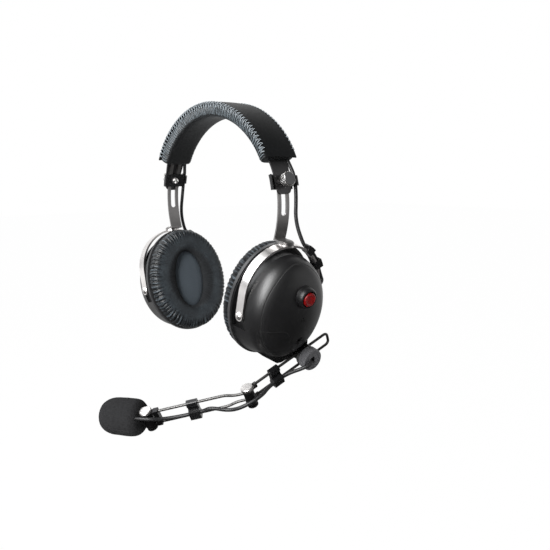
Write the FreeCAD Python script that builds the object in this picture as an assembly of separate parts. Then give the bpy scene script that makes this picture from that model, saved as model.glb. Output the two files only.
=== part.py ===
import FreeCAD, Part
import math
import os

# Aviation headset, in millimetres and degrees.
# The wearer looks along -Y, +X is the wearer's left and +Z is up.
# The origin is the inside of the headband's crown, where it rests on the head.

Vec = FreeCAD.Vector
os.makedirs("parts", exist_ok=True)
OX = Vec(1, 0, 0)
OY = Vec(0, 1, 0)
OZ = Vec(0, 0, 1)
ORIGIN = Vec(0, 0, 0)

# Clearances
running_gap = 0.06          # radial, between a pin and the part that turns on it
slide_gap = 0.1             # between flat pieces that move past each other
soft_gap = 0.3              # round a soft piece

# Steel band of the headband, measured to the middle of its thickness
band_half_width = 88.5      # at its widest level
band_rise = 81.0            # from the widest level up to the crown
band_side_radius = 76.5
band_thickness = 1.4
band_width = 19.0
band_end_width = 14.5
band_end_corner = 4.0
band_end_reach = 10.5       # from the thumbscrew's axis to the end of the band

# Pad round the band
pad_inside_depth = 7.0      # from the band's middle in to the head, at the crown of the pad
pad_outside_depth = 4.9     # from the band's middle out to the cover
pad_width = 31.4
pad_inside_width = 24.0
pad_bulge = 0.8             # how far each side stands out between its edges
pad_crown = 1.3             # of the face on the head
pad_end_angle = 62.0        # round the band's side arc, from straight up
cover_edge = 0.8
cover_crown = 1.9

# Thumbscrew clamp at each end of the band
clamp_angle = 75.5          # round the band's side arc, from straight up
stud_radius = 2.0
thumb_radius = 6.0
thumb_height = 5.6
thumb_neck_radius = 3.6
thumb_neck_height = 3.2
thumb_teeth = 30
tooth_depth = 0.35
clamp_plate_thickness = 1.5
clamp_plate_length = 13.0
clamp_rail_inside = 9.3     # from the middle out to the inner side of each rail
clamp_rail_width = 1.0
nut_radius = 3.0
nut_height = 2.6

# Leads
lead_radius = 1.6
lead_side = 12.8            # of the crossover lead, behind the middle of the band
guide_radius = 3.0
guide_length = 8.0

# Slotted arm
arm_width = 11.6
arm_thickness = 1.4
arm_top_angle = 58.0
slot_width = 5.0
slot_top_angle = 61.5
slot_bottom_angle = 94.7
foot_lean = 13.9            # of the foot and the yoke, out of the vertical
rivet_past_band = 2.4       # swivel rivet, out from the band's widest place
rivet_below_band = 22.6     # and below it
foot_thickness = 1.6
foot_reach = 6.6            # past the rivet's axis
rivet_head_radius = 5.6
rivet_head_height = 1.8
rivet_radius = 2.2
rivet_tail_radius = 3.6
rivet_tail_height = 1.0

# Lowest point of each side lead's free hang, from the rivet; the right one is given as if on the left
left_lead_hang = Vec(-3.4, 12.4, 15.6)
right_lead_hang = Vec(2.6, 12.8, 14.6)

# Yoke strip, bent to a half round with straight arms
yoke_radius = 39.0
yoke_thickness = 1.8
yoke_width = 8.8
yoke_out = 1.5              # middle of the strip, outward of the swivel's axis
yoke_boss_radius = 6.6
pivot_drop = 59.9           # pivot screws, below the swivel's foot
pivot_radius = 1.6
pivot_head_radius = 3.6
pivot_head_height = 1.9
pivot_depth = 6.0           # length of the pivot pin inside the arm
clip_length = 7.0
clip_wall = 0.9
first_clip_turn = 34.3      # round the yoke from its top
second_clip_turn = 59.3
clip_cover = 0.8            # of a clip, over the lead
lead_on_yoke_x = 2.6        # towards the strip's outer edge
lead_on_yoke_rise = 0.3     # off the strip

# Ear cups, in the frame of the swivel's foot: x out, y back, z up the swivel's axis
# Each is turned about x and narrowed along y
cup_drop = 54.3             # middle of the cup, below the foot
cup_narrowing = 0.84
cushion_inner_x = -23.5
cushion_thickness = 11.5
cushion_half_height = 49.4
cushion_opening_half_height = 27.0
cushion_opening_narrowing = 0.55
cushion_edge_radius = 5.0
baffle_thickness = 5.8      # foam under its cloth
baffle_margin = 2.5         # of the foam, under the cushion's edge
flange_thickness = 3.0
flange_half_height = 50.0
driver_window_radius = 15.0
shell_base_half_height = 48.4
shell_wall = 2.8
recess_half_height = 43.6
recess_width = 15.1
recess_end_drop = 17.6      # lower end of the yoke's recess, below the cup's middle
shoulder_radius = 20.0
shoulder_half_height = 25.0 # of the shoulder arc's middle
crown_radius = 95.0
shell_apex_x = 31.0
pivot_boss_radius = 5.0

# Speaker driver
driver_radius = 18.0
driver_depth = 4.0
magnet_radius = 11.0
magnet_depth = 6.0

# Red push button on the left cup
button_back = 2.5           # behind the middle of the cup
button_rise = 16.8          # above the middle of the cup
bezel_radius = 9.2
bezel_tip_radius = 7.4
bezel_tip_x = 35.6
bezel_straight_x = 32.0
bezel_inner_x = 24.4
bezel_rim_radius = 10.4
bezel_rim_thickness = 1.2
cap_radius = 5.9
cap_collar_radius = 6.8
cap_collar_thickness = 1.4
cap_stop_x = 29.6           # shoulder in the bezel that keeps the cap in
cap_proud = 1.4
button_travel = 1.5
board_x = 14.6
board_thickness = 1.6
board_width = 35.0
board_height = 26.0
board_post_radius = 2.4
board_post_spacing = 28.0
switch_size = 9.0
switch_height = 4.6
spring_radius = 4.8
spring_wall = 0.6
stem_radius = 1.8

# Jack socket of the left cup, square to the crown of the shell
socket_drop = 23.6          # below the middle of the cup
socket_back = 6.5
socket_hole_radius = 3.5
socket_sleeve_radius = 3.1
socket_bore_radius = 1.8
socket_bore_depth = 13.0
socket_body_radius = 5.0
socket_body_length = 12.8
socket_body_sunk = 1.7      # below the shell's inner face, which curves away
socket_recess = 0.8

# Three small holes in the left shell, below the button
pore_radius = 0.6
pore_spread = 1.7
pore_drop = 3.2
pore_back = 3.8

# Boom mount, clamp and knob, about one axis along the cup's x
boom_back = 24.1            # boom's axis, behind the middle of the cup
boom_drop = 44.2            # boom's axis, below the middle of the cup
mount_radius = 7.0
mount_outer_x = 14.3
clamp_block_width = 7.8
clamp_block_length = 13.0
clamp_block_height = 16.4
clamp_block_bevel = 2.2     # of its upper and lower edges, toward the shell
boom_stud_radius = 3.3
boom_stud_bore = 1.68
boom_stud_inner_x = 4.0
boom_stud_sunk = 2.4        # end of the stud, below the knob's face
mount_inner_x = 0.5
chin_front_y = -19.7
chin_front_drop = 39.0      # below the cup's middle
chin_tip_front_y = -1.7
chin_tip_back_y = 3.0
chin_tip_drop = 49.8
chin_back_y = 11.0
chin_back_drop = 47.2
knob_radius = 9.8
knob_height = 7.8
knob_teeth = 44

# Boom wires: x runs forward along the boom, y outward, z square to both
boom_slope = 25.4           # of the boom, down towards the front
wire_radius = 1.2
wire_half_spacing = 5.8
wire_corner = 3.6
loop_reach = 27.6           # behind the boom's axis
elbow_reach = 60.8          # ahead of the boom's axis
elbow_drop = 1.9            # elbow's middle, below the middle of the wires
elbow_twist = 6.4           # of the elbow's axis, inward
rear_clip_reach = 32.9
lead_out = 2.9              # lead in the clips, out from the wires
lead_drop_rear = 3.6        # and below their middle
lead_drop_front = 2.9
lead_clip_length = 9.6
lead_clip_half_width = 2.7
lead_clip_waist = 1.7
lead_clip_half_height = 8.3
lead_clip_wall = 0.9

# Elbow and microphone swivel: a fork, a barrel in it, a screw through both and a nut
fork_lug_radius = 5.0
fork_lug_thickness = 2.0
fork_half_height = 7.0
fork_bridge_near = 6.2      # from the screw's axis to the near side of the bridge
fork_bridge_depth = 4.4
fork_bridge_half_width = 2.8
fork_bridge_wall = 0.6      # round the wires
ferrule_near = 5.8          # from the screw's axis to each ferrule of the elbow's fork
ferrule_length = 2.6
ferrule_wall = 0.7
barrel_radius = 4.6
screw_radius = 1.6
screw_head_radius = 5.5
screw_head_height = 2.4
screw_nut_radius = 4.6
screw_nut_height = 3.4
screw_teeth = 24

# Front wires, from the elbow's barrel to the fork of the microphone
boom_turn = 36.5            # of the front wires, inward from the rear ones
front_reach = 88.9          # from the elbow's axis to the microphone's swivel
front_wire_start = 2.4      # from the elbow's axis to the ends inside its barrel
front_wire_start_half_spacing = 3.4
splay_start = 12.0
splay_end = 20.0
front_clip_reach = 48.5
socketed_wire = 3.0         # length of each wire's end inside a block

# Microphone
mic_turn = 20.2             # of the microphone, inward from the front wires
mic_lean = 3.6              # of the capsule, up from its swivel
mic_arm_reach = 6.1         # from the swivel to the windscreen
mic_arm_half_width = 2.2
mic_arm_half_height = 2.6
mic_capsule_radius = 8.0
mic_capsule_depth = 1.5     # of the capsule's start inside the windscreen
mic_capsule_length = 22.0
windscreen_radius = 16.0
windscreen_length = 38.9
windscreen_near_round = 7.0
windscreen_far_round = 10.0


# Outlines

def line(a, b):
    return Part.LineSegment(a, b).toShape()


def arc(a, m, b):
    return Part.Arc(a, m, b).toShape()


def faceOf(edges):
    return Part.Face(Part.Wire(edges))


def polygonFace(points):
    return Part.Face(Part.makePolygon(points + [points[0]]))


def circleFace(centre, axis, radius):
    return Part.Face(Part.Wire(Part.makeCircle(radius, centre, axis)))


def joined(shapes):
    result = shapes[0].fuse(shapes[1:]) if len(shapes) > 1 else shapes[0]
    return result.removeSplitter()


def box(x0, x1, y0, y1, z0, z1):
    return Part.makeBox(x1 - x0, y1 - y0, z1 - z0, Vec(x0, y0, z0))


def cylinder(radius, start, end):
    axis = end - start
    return Part.makeCylinder(radius, axis.Length, start, axis)


def mirrored(shape):
    return shape.mirror(ORIGIN, OX)


def save(shape, name):
    shape.exportStep("parts/" + name + ".step")
    print(name, "solids", len(shape.Solids), "volume", round(shape.Volume, 1), "valid", shape.isValid())


# A round tube along straight runs joined by tangent arcs

def unit(v):
    return v / v.Length


def cornerRadius(a, b, c):
    before = b - a
    after = c - b
    half_turn = before.getAngle(after) / 2
    return 0.45 * min(before.Length, after.Length) / math.tan(half_turn)


def tube(points, radius, corner=None, name=None):
    edges = []
    here = points[0]
    radii = []
    for a, b, c in zip(points, points[1:], points[2:]):
        to_b = unit(b - a)
        from_b = unit(c - b)
        half_turn = to_b.getAngle(from_b) / 2
        r = corner if corner else cornerRadius(a, b, c)
        cut = r * math.tan(half_turn)
        start = b - to_b * cut
        end = b + from_b * cut
        to_middle = unit(from_b - to_b)
        middle = b + to_middle * (r / math.cos(half_turn) - r)
        if (start - here).Length > 0.01:
            edges.append(line(here, start))
        edges.append(arc(start, middle, end))
        radii.append(round(r, 1))
        here = end
    edges.append(line(here, points[-1]))
    path = Part.Wire(edges)
    section = Part.Wire(Part.makeCircle(radius, points[0], points[1] - points[0]))
    solid = path.makePipeShell([section], True, False)
    if name:
        want = math.pi * radius * radius * path.Length
        print("  ", name, "length", round(path.Length, 1), "radii", radii,
              "volume share", round(solid.Volume / want, 4))
    return solid


def toothedDisc(radius, height, teeth, base):
    points = []
    for i in range(2 * teeth):
        r = radius if i % 2 == 0 else radius - tooth_depth
        turn = math.pi * i / teeth
        points.append(Vec(r * math.cos(turn), r * math.sin(turn), base))
    disc = polygonFace(points).extrude(Vec(0, 0, height))
    rounded = Part.makeCylinder(radius + 1, height, Vec(0, 0, base))
    bevel = 0.5
    edge = [Vec(radius - bevel - tooth_depth, 0, base + height), Vec(radius + 1, 0, base + height),
            Vec(radius + 1, 0, base + height - 1 - bevel - tooth_depth)]
    return disc.common(rounded.cut(polygonFace(edge).revolve(ORIGIN, OZ, 360)))


# Places along the band's side arc: x runs down the band, y back and z out

band_side_x = band_half_width - band_side_radius
band_crown_radius = ((band_side_x ** 2 + band_rise ** 2 - band_side_radius ** 2)
                     / (2 * (band_rise - band_side_radius)))
band_crown_z = pad_inside_depth
band_level_z = band_crown_z - band_rise
crown_centre = Vec(0, 0, band_crown_z - band_crown_radius)
side_centre = Vec(band_side_x, 0, band_level_z)
join_angle = math.degrees(math.atan2(side_centre.x, side_centre.z - crown_centre.z))


def onBand(shape, angle):
    placed = shape.copy()
    placed.translate(Vec(0, 0, band_side_radius))
    placed.rotate(ORIGIN, OY, angle)
    placed.translate(side_centre)
    return placed


def pointOnBand(local, angle):
    turn = FreeCAD.Rotation(OY, angle)
    return side_centre + turn.multVec(local + Vec(0, 0, band_side_radius))


def alongSide(section, start_angle, end_angle):
    turned = section.copy()
    turned.translate(Vec(0, 0, band_side_radius))
    turned.rotate(ORIGIN, OY, start_angle)
    solid = turned.revolve(ORIGIN, OY, end_angle - start_angle)
    solid.translate(side_centre)
    return solid


def alongBand(section, end_angle):
    crown = section.copy()
    crown.translate(Vec(0, 0, band_crown_radius))
    crown.rotate(ORIGIN, OY, -join_angle)
    arch = crown.revolve(ORIGIN, OY, 2 * join_angle)
    arch.translate(crown_centre)
    side = alongSide(section, join_angle, end_angle)
    return joined([arch, side, mirrored(side)])


def strapSection(width, low, high):
    return polygonFace([Vec(0, -width / 2, low), Vec(0, width / 2, low),
                        Vec(0, width / 2, high), Vec(0, -width / 2, high)])


def degreesAlong(length):
    return math.degrees(length / band_side_radius)


# Levels through the band and what is clamped under it
band_face = band_thickness / 2
arm_outer = -band_face - slide_gap
arm_inner = arm_outer - arm_thickness
plate_outer = arm_inner - slide_gap
plate_inner = plate_outer - clamp_plate_thickness
clamp_to_end = degreesAlong(band_end_reach)


def roundedEndOutline(half_start, half_end, start, end, corner):
    bend = corner * 0.7071
    edges = [
        line(Vec(start, -half_start, 0), Vec(end - corner, -half_end, 0)),
        arc(Vec(end - corner, -half_end, 0), Vec(end - corner + bend, -half_end + corner - bend, 0),
            Vec(end, -half_end + corner, 0)),
        line(Vec(end, -half_end + corner, 0), Vec(end, half_end - corner, 0)),
        arc(Vec(end, half_end - corner, 0), Vec(end - corner + bend, half_end - corner + bend, 0),
            Vec(end - corner, half_end, 0)),
        line(Vec(end - corner, half_end, 0), Vec(start, half_start, 0)),
        line(Vec(start, half_start, 0), Vec(start, -half_start, 0)),
    ]
    return faceOf(edges)


def springBand():
    taper_start = -math.radians(clamp_angle - pad_end_angle) * band_side_radius
    main = alongBand(strapSection(band_width, -band_face, band_face), pad_end_angle)
    end = alongSide(strapSection(band_width, -band_face, band_face), pad_end_angle - 1, clamp_angle + 12)
    outline = roundedEndOutline(band_width / 2, band_end_width / 2, taper_start - 3, band_end_reach,
                                band_end_corner)
    outline.translate(Vec(0, 0, -10))
    end = end.common(onBand(outline.extrude(Vec(0, 0, 20)), clamp_angle))
    hole = onBand(cylinder(stud_radius + running_gap, Vec(0, 0, -5), Vec(0, 0, 5)), clamp_angle)
    end = end.cut(hole)
    return joined([main, end, mirrored(end)])


def padSection():
    half_in = pad_inside_width / 2
    half_out = pad_width / 2
    low = -pad_inside_depth
    rim = low + pad_crown
    high = pad_outside_depth
    middle = (rim + high) / 2
    side = (half_in + half_out) / 2 + pad_bulge + 1.0
    return faceOf([
        arc(Vec(0, -half_in, rim), Vec(0, 0, low), Vec(0, half_in, rim)),
        arc(Vec(0, half_in, rim), Vec(0, side, middle), Vec(0, half_out, high)),
        line(Vec(0, half_out, high), Vec(0, -half_out, high)),
        arc(Vec(0, -half_out, high), Vec(0, -side, middle), Vec(0, -half_in, rim)),
    ])


def headbandCushion():
    pad = alongBand(padSection(), pad_end_angle)
    room = strapSection(band_width + 2 * soft_gap, arm_inner - soft_gap, band_face + soft_gap)
    channel = alongBand(room, pad_end_angle + 1)
    duct = alongBand(circleFace(Vec(0, lead_side, 0), OX, lead_radius + 0.1), pad_end_angle + 1)
    return pad.cut([channel, duct])


def headbandCover():
    half = pad_width / 2 + soft_gap
    low = pad_outside_depth
    edge = low + cover_edge
    section = faceOf([
        line(Vec(0, -half, low), Vec(0, half, low)),
        line(Vec(0, half, low), Vec(0, half, edge)),
        arc(Vec(0, half, edge), Vec(0, 0, low + cover_crown), Vec(0, -half, edge)),
        line(Vec(0, -half, edge), Vec(0, -half, low)),
    ])
    return alongBand(section, pad_end_angle)


# Clamp at the end of the band, built on the left and mirrored

guide_angle = degreesAlong(guide_length / 2)


def clampPlate():
    half = degreesAlong(clamp_plate_length / 2)
    rail_out = clamp_rail_inside + clamp_rail_width
    rail_top = arm_outer
    start = clamp_angle - half
    end = clamp_angle + half
    plate = alongSide(strapSection(2 * rail_out, plate_inner, plate_outer), start, end)
    pieces = [plate]
    for side in (-1, 1):
        rail = strapSection(clamp_rail_width, plate_inner, rail_top)
        rail.translate(Vec(0, side * (clamp_rail_inside + clamp_rail_width / 2), 0))
        pieces.append(alongSide(rail, start, end))
    guide = circleFace(Vec(0, lead_side, 0), OX, guide_radius)
    pieces.append(alongSide(guide, clamp_angle - guide_angle, clamp_angle + guide_angle))
    body = joined(pieces)
    duct = alongSide(circleFace(Vec(0, lead_side, 0), OX, lead_radius), start - 2, end + 2)
    inside = strapSection(2 * clamp_rail_inside, plate_outer, rail_top + 5)
    inside = alongSide(inside, start - 2, end + 2)
    hole = onBand(cylinder(stud_radius + running_gap, Vec(0, 0, -9), Vec(0, 0, 5)), clamp_angle)
    return body.cut([duct, inside, hole])


def clampNut():
    top = plate_inner - 0.1
    nut = cylinder(nut_radius, Vec(0, 0, top - nut_height), Vec(0, 0, top))
    nut = nut.makeFillet(1.0, [e for e in nut.Edges if e.CenterOfMass.z < top - nut_height + 0.1])
    hole = cylinder(stud_radius + running_gap, Vec(0, 0, -20), Vec(0, 0, 5))
    return onBand(nut.cut(hole), clamp_angle)


def thumbscrew():
    seat = band_face + slide_gap + 0.2
    disc_base = seat + thumb_neck_height
    head = toothedDisc(thumb_radius, thumb_height, thumb_teeth, disc_base)
    neck = cylinder(thumb_neck_radius, Vec(0, 0, seat), Vec(0, 0, disc_base + 0.5))
    tip = plate_inner - nut_height - 0.8
    stud = cylinder(stud_radius, Vec(0, 0, tip), Vec(0, 0, seat + 1))
    return onBand(joined([head, neck, stud]), clamp_angle)


# Arm, foot and yoke. In the foot's frame x runs out, y back and z up the swivel's axis

foot_turn = FreeCAD.Rotation(OY, foot_lean)
rivet_point = Vec(band_half_width + rivet_past_band, 0, -band_rise - rivet_below_band)


def placedIn(frame, shape):
    placed = shape.copy()
    placed.Placement = frame.multiply(placed.Placement)
    return placed


foot_frame = FreeCAD.Placement(rivet_point, foot_turn)


def capMiddle(radius, rise):
    # Half way up the side of a spherical cap: distance from its axis, and height above its edge
    sphere = (radius ** 2 + rise ** 2) / (2 * rise)
    half_turn = math.asin(radius / sphere) / 2
    return sphere * math.sin(half_turn), rise - sphere * (1 - math.cos(half_turn))


def onFoot(shape):
    return placedIn(foot_frame, shape)


def pointOnFoot(local):
    return rivet_point + foot_turn.multVec(local)


def footStart():
    # Distance along the foot, in from the rivet, where it meets the middle of the arm
    along = foot_turn.multVec(OX)
    start = pointOnFoot(Vec(0, 0, -foot_thickness / 2)) - side_centre
    radius = band_side_radius + (arm_outer + arm_inner) / 2
    b = start.dot(along)
    c = start.dot(start) - radius ** 2
    return -b + math.sqrt(b * b - c)


foot_in = footStart()
foot_corner = pointOnFoot(Vec(foot_in, 0, -foot_thickness / 2)) - side_centre
arm_end_angle = math.degrees(math.atan2(foot_corner.x, foot_corner.z))


def slottedArm():
    strap = alongSide(strapSection(arm_width, arm_inner, arm_outer), arm_top_angle, arm_end_angle + 1.5)
    cut = strapSection(slot_width, arm_inner - 1, arm_outer + 1)
    slot = alongSide(cut, slot_top_angle, slot_bottom_angle)
    ends = [onBand(cylinder(slot_width / 2, Vec(0, 0, arm_inner - 1), Vec(0, 0, arm_outer + 1)), a)
            for a in (slot_top_angle, slot_bottom_angle)]
    half = arm_width / 2
    plate = box(foot_in - arm_thickness / 2, foot_reach - half, -half, half, -foot_thickness, 0)
    rounded = cylinder(half, Vec(foot_reach - half, 0, -foot_thickness), Vec(foot_reach - half, 0, 0))
    foot = joined([plate, rounded])
    above = onFoot(box(foot_in - 20, foot_in + 30, -20, 20, -foot_thickness, 60))
    strap = strap.common(above)
    hole = onFoot(cylinder(rivet_radius, Vec(0, 0, -5), Vec(0, 0, 5)))
    return joined([strap, onFoot(foot)]).cut(ends + [slot, hole])


def swivelRivet():
    yoke_low = -foot_thickness - slide_gap - yoke_thickness
    edge = 0.6
    out, up = capMiddle(rivet_head_radius, rivet_head_height - edge)
    dome = arc(Vec(rivet_head_radius, 0, edge), Vec(out, 0, edge + up), Vec(0, 0, rivet_head_height))
    head = faceOf([line(ORIGIN, Vec(rivet_head_radius, 0, 0)),
                   line(Vec(rivet_head_radius, 0, 0), Vec(rivet_head_radius, 0, edge)), dome,
                   line(Vec(0, 0, rivet_head_height), ORIGIN)]).revolve(ORIGIN, OZ, 360)
    # The strip's inner face curves down past the tail's edge
    tail_top = yoke_low - slide_gap - rivet_tail_radius ** 2 / (2 * yoke_radius)
    tail_low = tail_top - rivet_tail_height
    shank = cylinder(rivet_radius, Vec(0, 0, tail_low), Vec(0, 0, 0.3))
    tail = cylinder(rivet_tail_radius, Vec(0, 0, tail_low), Vec(0, 0, tail_top))
    return onFoot(joined([head, shank, tail]))


yoke_top = -foot_thickness - slide_gap
yoke_centre_z = yoke_top - yoke_thickness / 2 - yoke_radius
yoke_end_z = -pivot_drop - yoke_width / 2


def yokeOutline(radius):
    # The half round with its straight arms, as a face across the strip
    top = yoke_centre_z
    return faceOf([
        arc(Vec(0, -radius, top), Vec(0, 0, top + radius), Vec(0, radius, top)),
        line(Vec(0, radius, top), Vec(0, radius, yoke_end_z)),
        line(Vec(0, radius, yoke_end_z), Vec(0, -radius, yoke_end_z)),
        line(Vec(0, -radius, yoke_end_z), Vec(0, -radius, top)),
    ])


def yoke():
    half = yoke_width / 2
    outer = yokeOutline(yoke_radius + yoke_thickness / 2)
    inner = yokeOutline(yoke_radius - yoke_thickness / 2)
    strip = outer.cut(inner)
    strip.translate(Vec(yoke_out - half, 0, 0))
    strip = strip.extrude(Vec(yoke_width, 0, 0))
    side = joined([box(yoke_out - half, yoke_out + half, -60, 60, -pivot_drop, 10),
                   cylinder(half, Vec(yoke_out, -60, -pivot_drop), Vec(yoke_out, 60, -pivot_drop))])
    strip = strip.common(side)
    low = yoke_top - yoke_thickness
    boss = cylinder(yoke_boss_radius, Vec(0, 0, low), Vec(0, 0, yoke_top))
    above = box(-20, 20, -50, 50, yoke_top, 20)
    swivel = cylinder(rivet_radius + running_gap, Vec(0, 0, low - 1), Vec(0, 0, 1))
    pins = cylinder(pivot_radius, Vec(yoke_out, -60, -pivot_drop), Vec(yoke_out, 60, -pivot_drop))
    return onFoot(joined([strip, boss]).cut([above, swivel, pins]))


def pivotScrews():
    outside = yoke_radius + yoke_thickness / 2
    inside = yoke_radius - yoke_thickness / 2 - pivot_depth
    screws = []
    for side in (-1, 1):
        centre = Vec(yoke_out, side * outside, -pivot_drop)
        out = Vec(0, side, 0)
        pin = cylinder(pivot_radius, Vec(yoke_out, side * inside, -pivot_drop), centre + out * 0.2)
        sphere_radius = (pivot_head_radius ** 2 + pivot_head_height ** 2) / (2 * pivot_head_height)
        ball = Part.makeSphere(sphere_radius, centre + out * (pivot_head_height - sphere_radius))
        keep = cylinder(pivot_head_radius + 0.5, centre, centre + out * 5)
        screws.append(onFoot(joined([pin, ball.common(keep)])))
    return Part.makeCompound(screws)


# Side lead: out of the guide, down beside the arm, then on the outside of the yoke's rear arm

lead_on_yoke = yoke_radius + yoke_thickness / 2 + lead_on_yoke_rise + lead_radius


def pointOnYoke(turn):
    a = math.radians(turn)
    return pointOnFoot(Vec(lead_on_yoke_x, lead_on_yoke * math.sin(a),
                           yoke_centre_z + lead_on_yoke * math.cos(a)))


def directionOnYoke(turn):
    a = math.radians(turn)
    return foot_turn.multVec(Vec(0, math.cos(a), -math.sin(a)))


clip_half_turn = math.degrees(clip_length / 2 / yoke_radius)
lead_yoke_start = first_clip_turn - clip_half_turn
lead_yoke_end = second_clip_turn + clip_half_turn
guide_end = pointOnBand(Vec(0, lead_side, 0), clamp_angle + guide_angle)
guide_direction = FreeCAD.Rotation(OY, clamp_angle + guide_angle).multVec(OX)
lead_hang_top = guide_end + guide_direction * 6
lead_arrival = pointOnYoke(lead_yoke_start) - directionOnYoke(lead_yoke_start) * 4.5


def leadSplit(hang_bottom):
    return lead_hang_top + (rivet_point + hang_bottom - lead_hang_top) * 0.6


def sideLeadUpper(hang_bottom):
    return tube([guide_end, lead_hang_top, leadSplit(hang_bottom)], lead_radius, name="lead_upper")


def sideLeadMiddle(hang_bottom):
    start = pointOnYoke(lead_yoke_start)
    end = pointOnYoke(lead_yoke_end)
    middle = pointOnYoke((lead_yoke_start + lead_yoke_end) / 2)
    points = [leadSplit(hang_bottom), rivet_point + hang_bottom, lead_arrival, start]
    free = tube(points, lead_radius, name="lead_middle")
    section = Part.Wire(Part.makeCircle(lead_radius, start, directionOnYoke(lead_yoke_start)))
    held = Part.Wire([arc(start, middle, end)]).makePipeShell([section], True, False)
    return joined([free, held])


def yokeClips():
    clips = []
    for turn in (first_clip_turn, second_clip_turn):
        half = clip_half_turn
        low = -yoke_thickness / 2 - clip_wall
        high = lead_on_yoke - yoke_radius + lead_radius + clip_cover
        near = lead_on_yoke_x - lead_radius - clip_cover
        edge = yoke_out + yoke_width / 2
        far = edge + clip_wall
        section = polygonFace([Vec(near, 0, low), Vec(far, 0, low), Vec(far, 0, high), Vec(near, 0, high)])
        body = roundYoke(section, turn - half, turn + half)
        strip = polygonFace([Vec(0, 0, -yoke_thickness / 2), Vec(edge, 0, -yoke_thickness / 2),
                             Vec(edge, 0, yoke_thickness / 2), Vec(0, 0, yoke_thickness / 2)])
        duct = circleFace(Vec(lead_on_yoke_x, 0, lead_on_yoke - yoke_radius), OY, lead_radius)
        clips.append(onFoot(body.cut([roundYoke(strip, turn - half - 1, turn + half + 1),
                                      roundYoke(duct, turn - half - 1, turn + half + 1)])))
    return Part.makeCompound(clips)


def roundYoke(section, start, end):
    # A section at the yoke's top, with z out from the strip, turned along its half round
    solid = section.copy()
    solid.translate(Vec(0, 0, yoke_radius))
    solid.rotate(ORIGIN, OX, -start)
    solid = solid.revolve(ORIGIN, OX, start - end)
    solid.translate(Vec(0, 0, yoke_centre_z))
    return solid


# Ear cups

cup_z = -cup_drop
cushion_base_x = cushion_inner_x + cushion_thickness
flange_x = cushion_base_x + soft_gap
shell_x = flange_x + flange_thickness
crown_centre_x = shell_apex_x - crown_radius
shoulder_x = crown_centre_x + math.sqrt((crown_radius - shoulder_radius) ** 2 - shoulder_half_height ** 2)
pivot_point = Vec(yoke_out, 0, -pivot_drop)


def ovalTurn(face, narrowing):
    # Turned about X, then narrowed along Y
    solid = face.revolve(ORIGIN, OX, 360)
    squeeze = FreeCAD.Matrix()
    squeeze.A22 = narrowing
    solid = solid.transformGeometry(squeeze)
    solid.translate(Vec(0, 0, cup_z))
    return solid


def p(x, r):
    return Vec(x, 0, r)


def domeFace(inset, start_x, base_height):
    # Half profile of the shell: a sloping wall, a shoulder arc and a crown arc, all set in by inset
    shoulder = shoulder_radius - inset
    crown = crown_radius - inset
    centre = p(shoulder_x, shoulder_half_height)
    base = p(start_x, base_height)
    gap = base - centre
    tangent_turn = math.atan2(gap.z, gap.x) - math.acos(shoulder / gap.Length)
    tangent = centre + p(shoulder * math.cos(tangent_turn), shoulder * math.sin(tangent_turn))
    joint_turn = math.atan2(shoulder_half_height, shoulder_x - crown_centre_x)
    joint = p(crown_centre_x + crown * math.cos(joint_turn), crown * math.sin(joint_turn))
    middle_turn = (tangent_turn + joint_turn) / 2
    middle = centre + p(shoulder * math.cos(middle_turn), shoulder * math.sin(middle_turn))
    crown_middle = p(crown_centre_x + crown * math.cos(joint_turn / 2), crown * math.sin(joint_turn / 2))
    apex = p(crown_centre_x + crown, 0)
    return faceOf([
        line(p(start_x, 0), base),
        line(base, tangent),
        arc(tangent, middle, joint),
        arc(joint, crown_middle, apex),
        line(apex, p(start_x, 0)),
    ])


def rectangleFace(x0, x1, r0, r1):
    return polygonFace([p(x0, r0), p(x1, r0), p(x1, r1), p(x0, r1)])


def shellEnvelope():
    # The whole outer form of the shell, without its hollow
    full = ovalTurn(domeFace(0, shell_x, shell_base_half_height), cup_narrowing)
    ring = rectangleFace(shell_x + 0.6, shell_x + recess_width, recess_half_height, 70)
    ring = ovalTurn(ring, cup_narrowing)
    above = box(shell_x - 5, 60, -90, 90, cup_z - recess_end_drop, 60)
    full = full.cut(ring.common(above))
    bosses = []
    for side in (-1, 1):
        outside = side * (yoke_radius - yoke_thickness / 2 - slide_gap)
        bosses.append(cylinder(pivot_boss_radius, Vec(pivot_point.x, side * 30, pivot_point.z),
                               Vec(pivot_point.x, outside, pivot_point.z)))
    return joined([full] + bosses)


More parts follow.
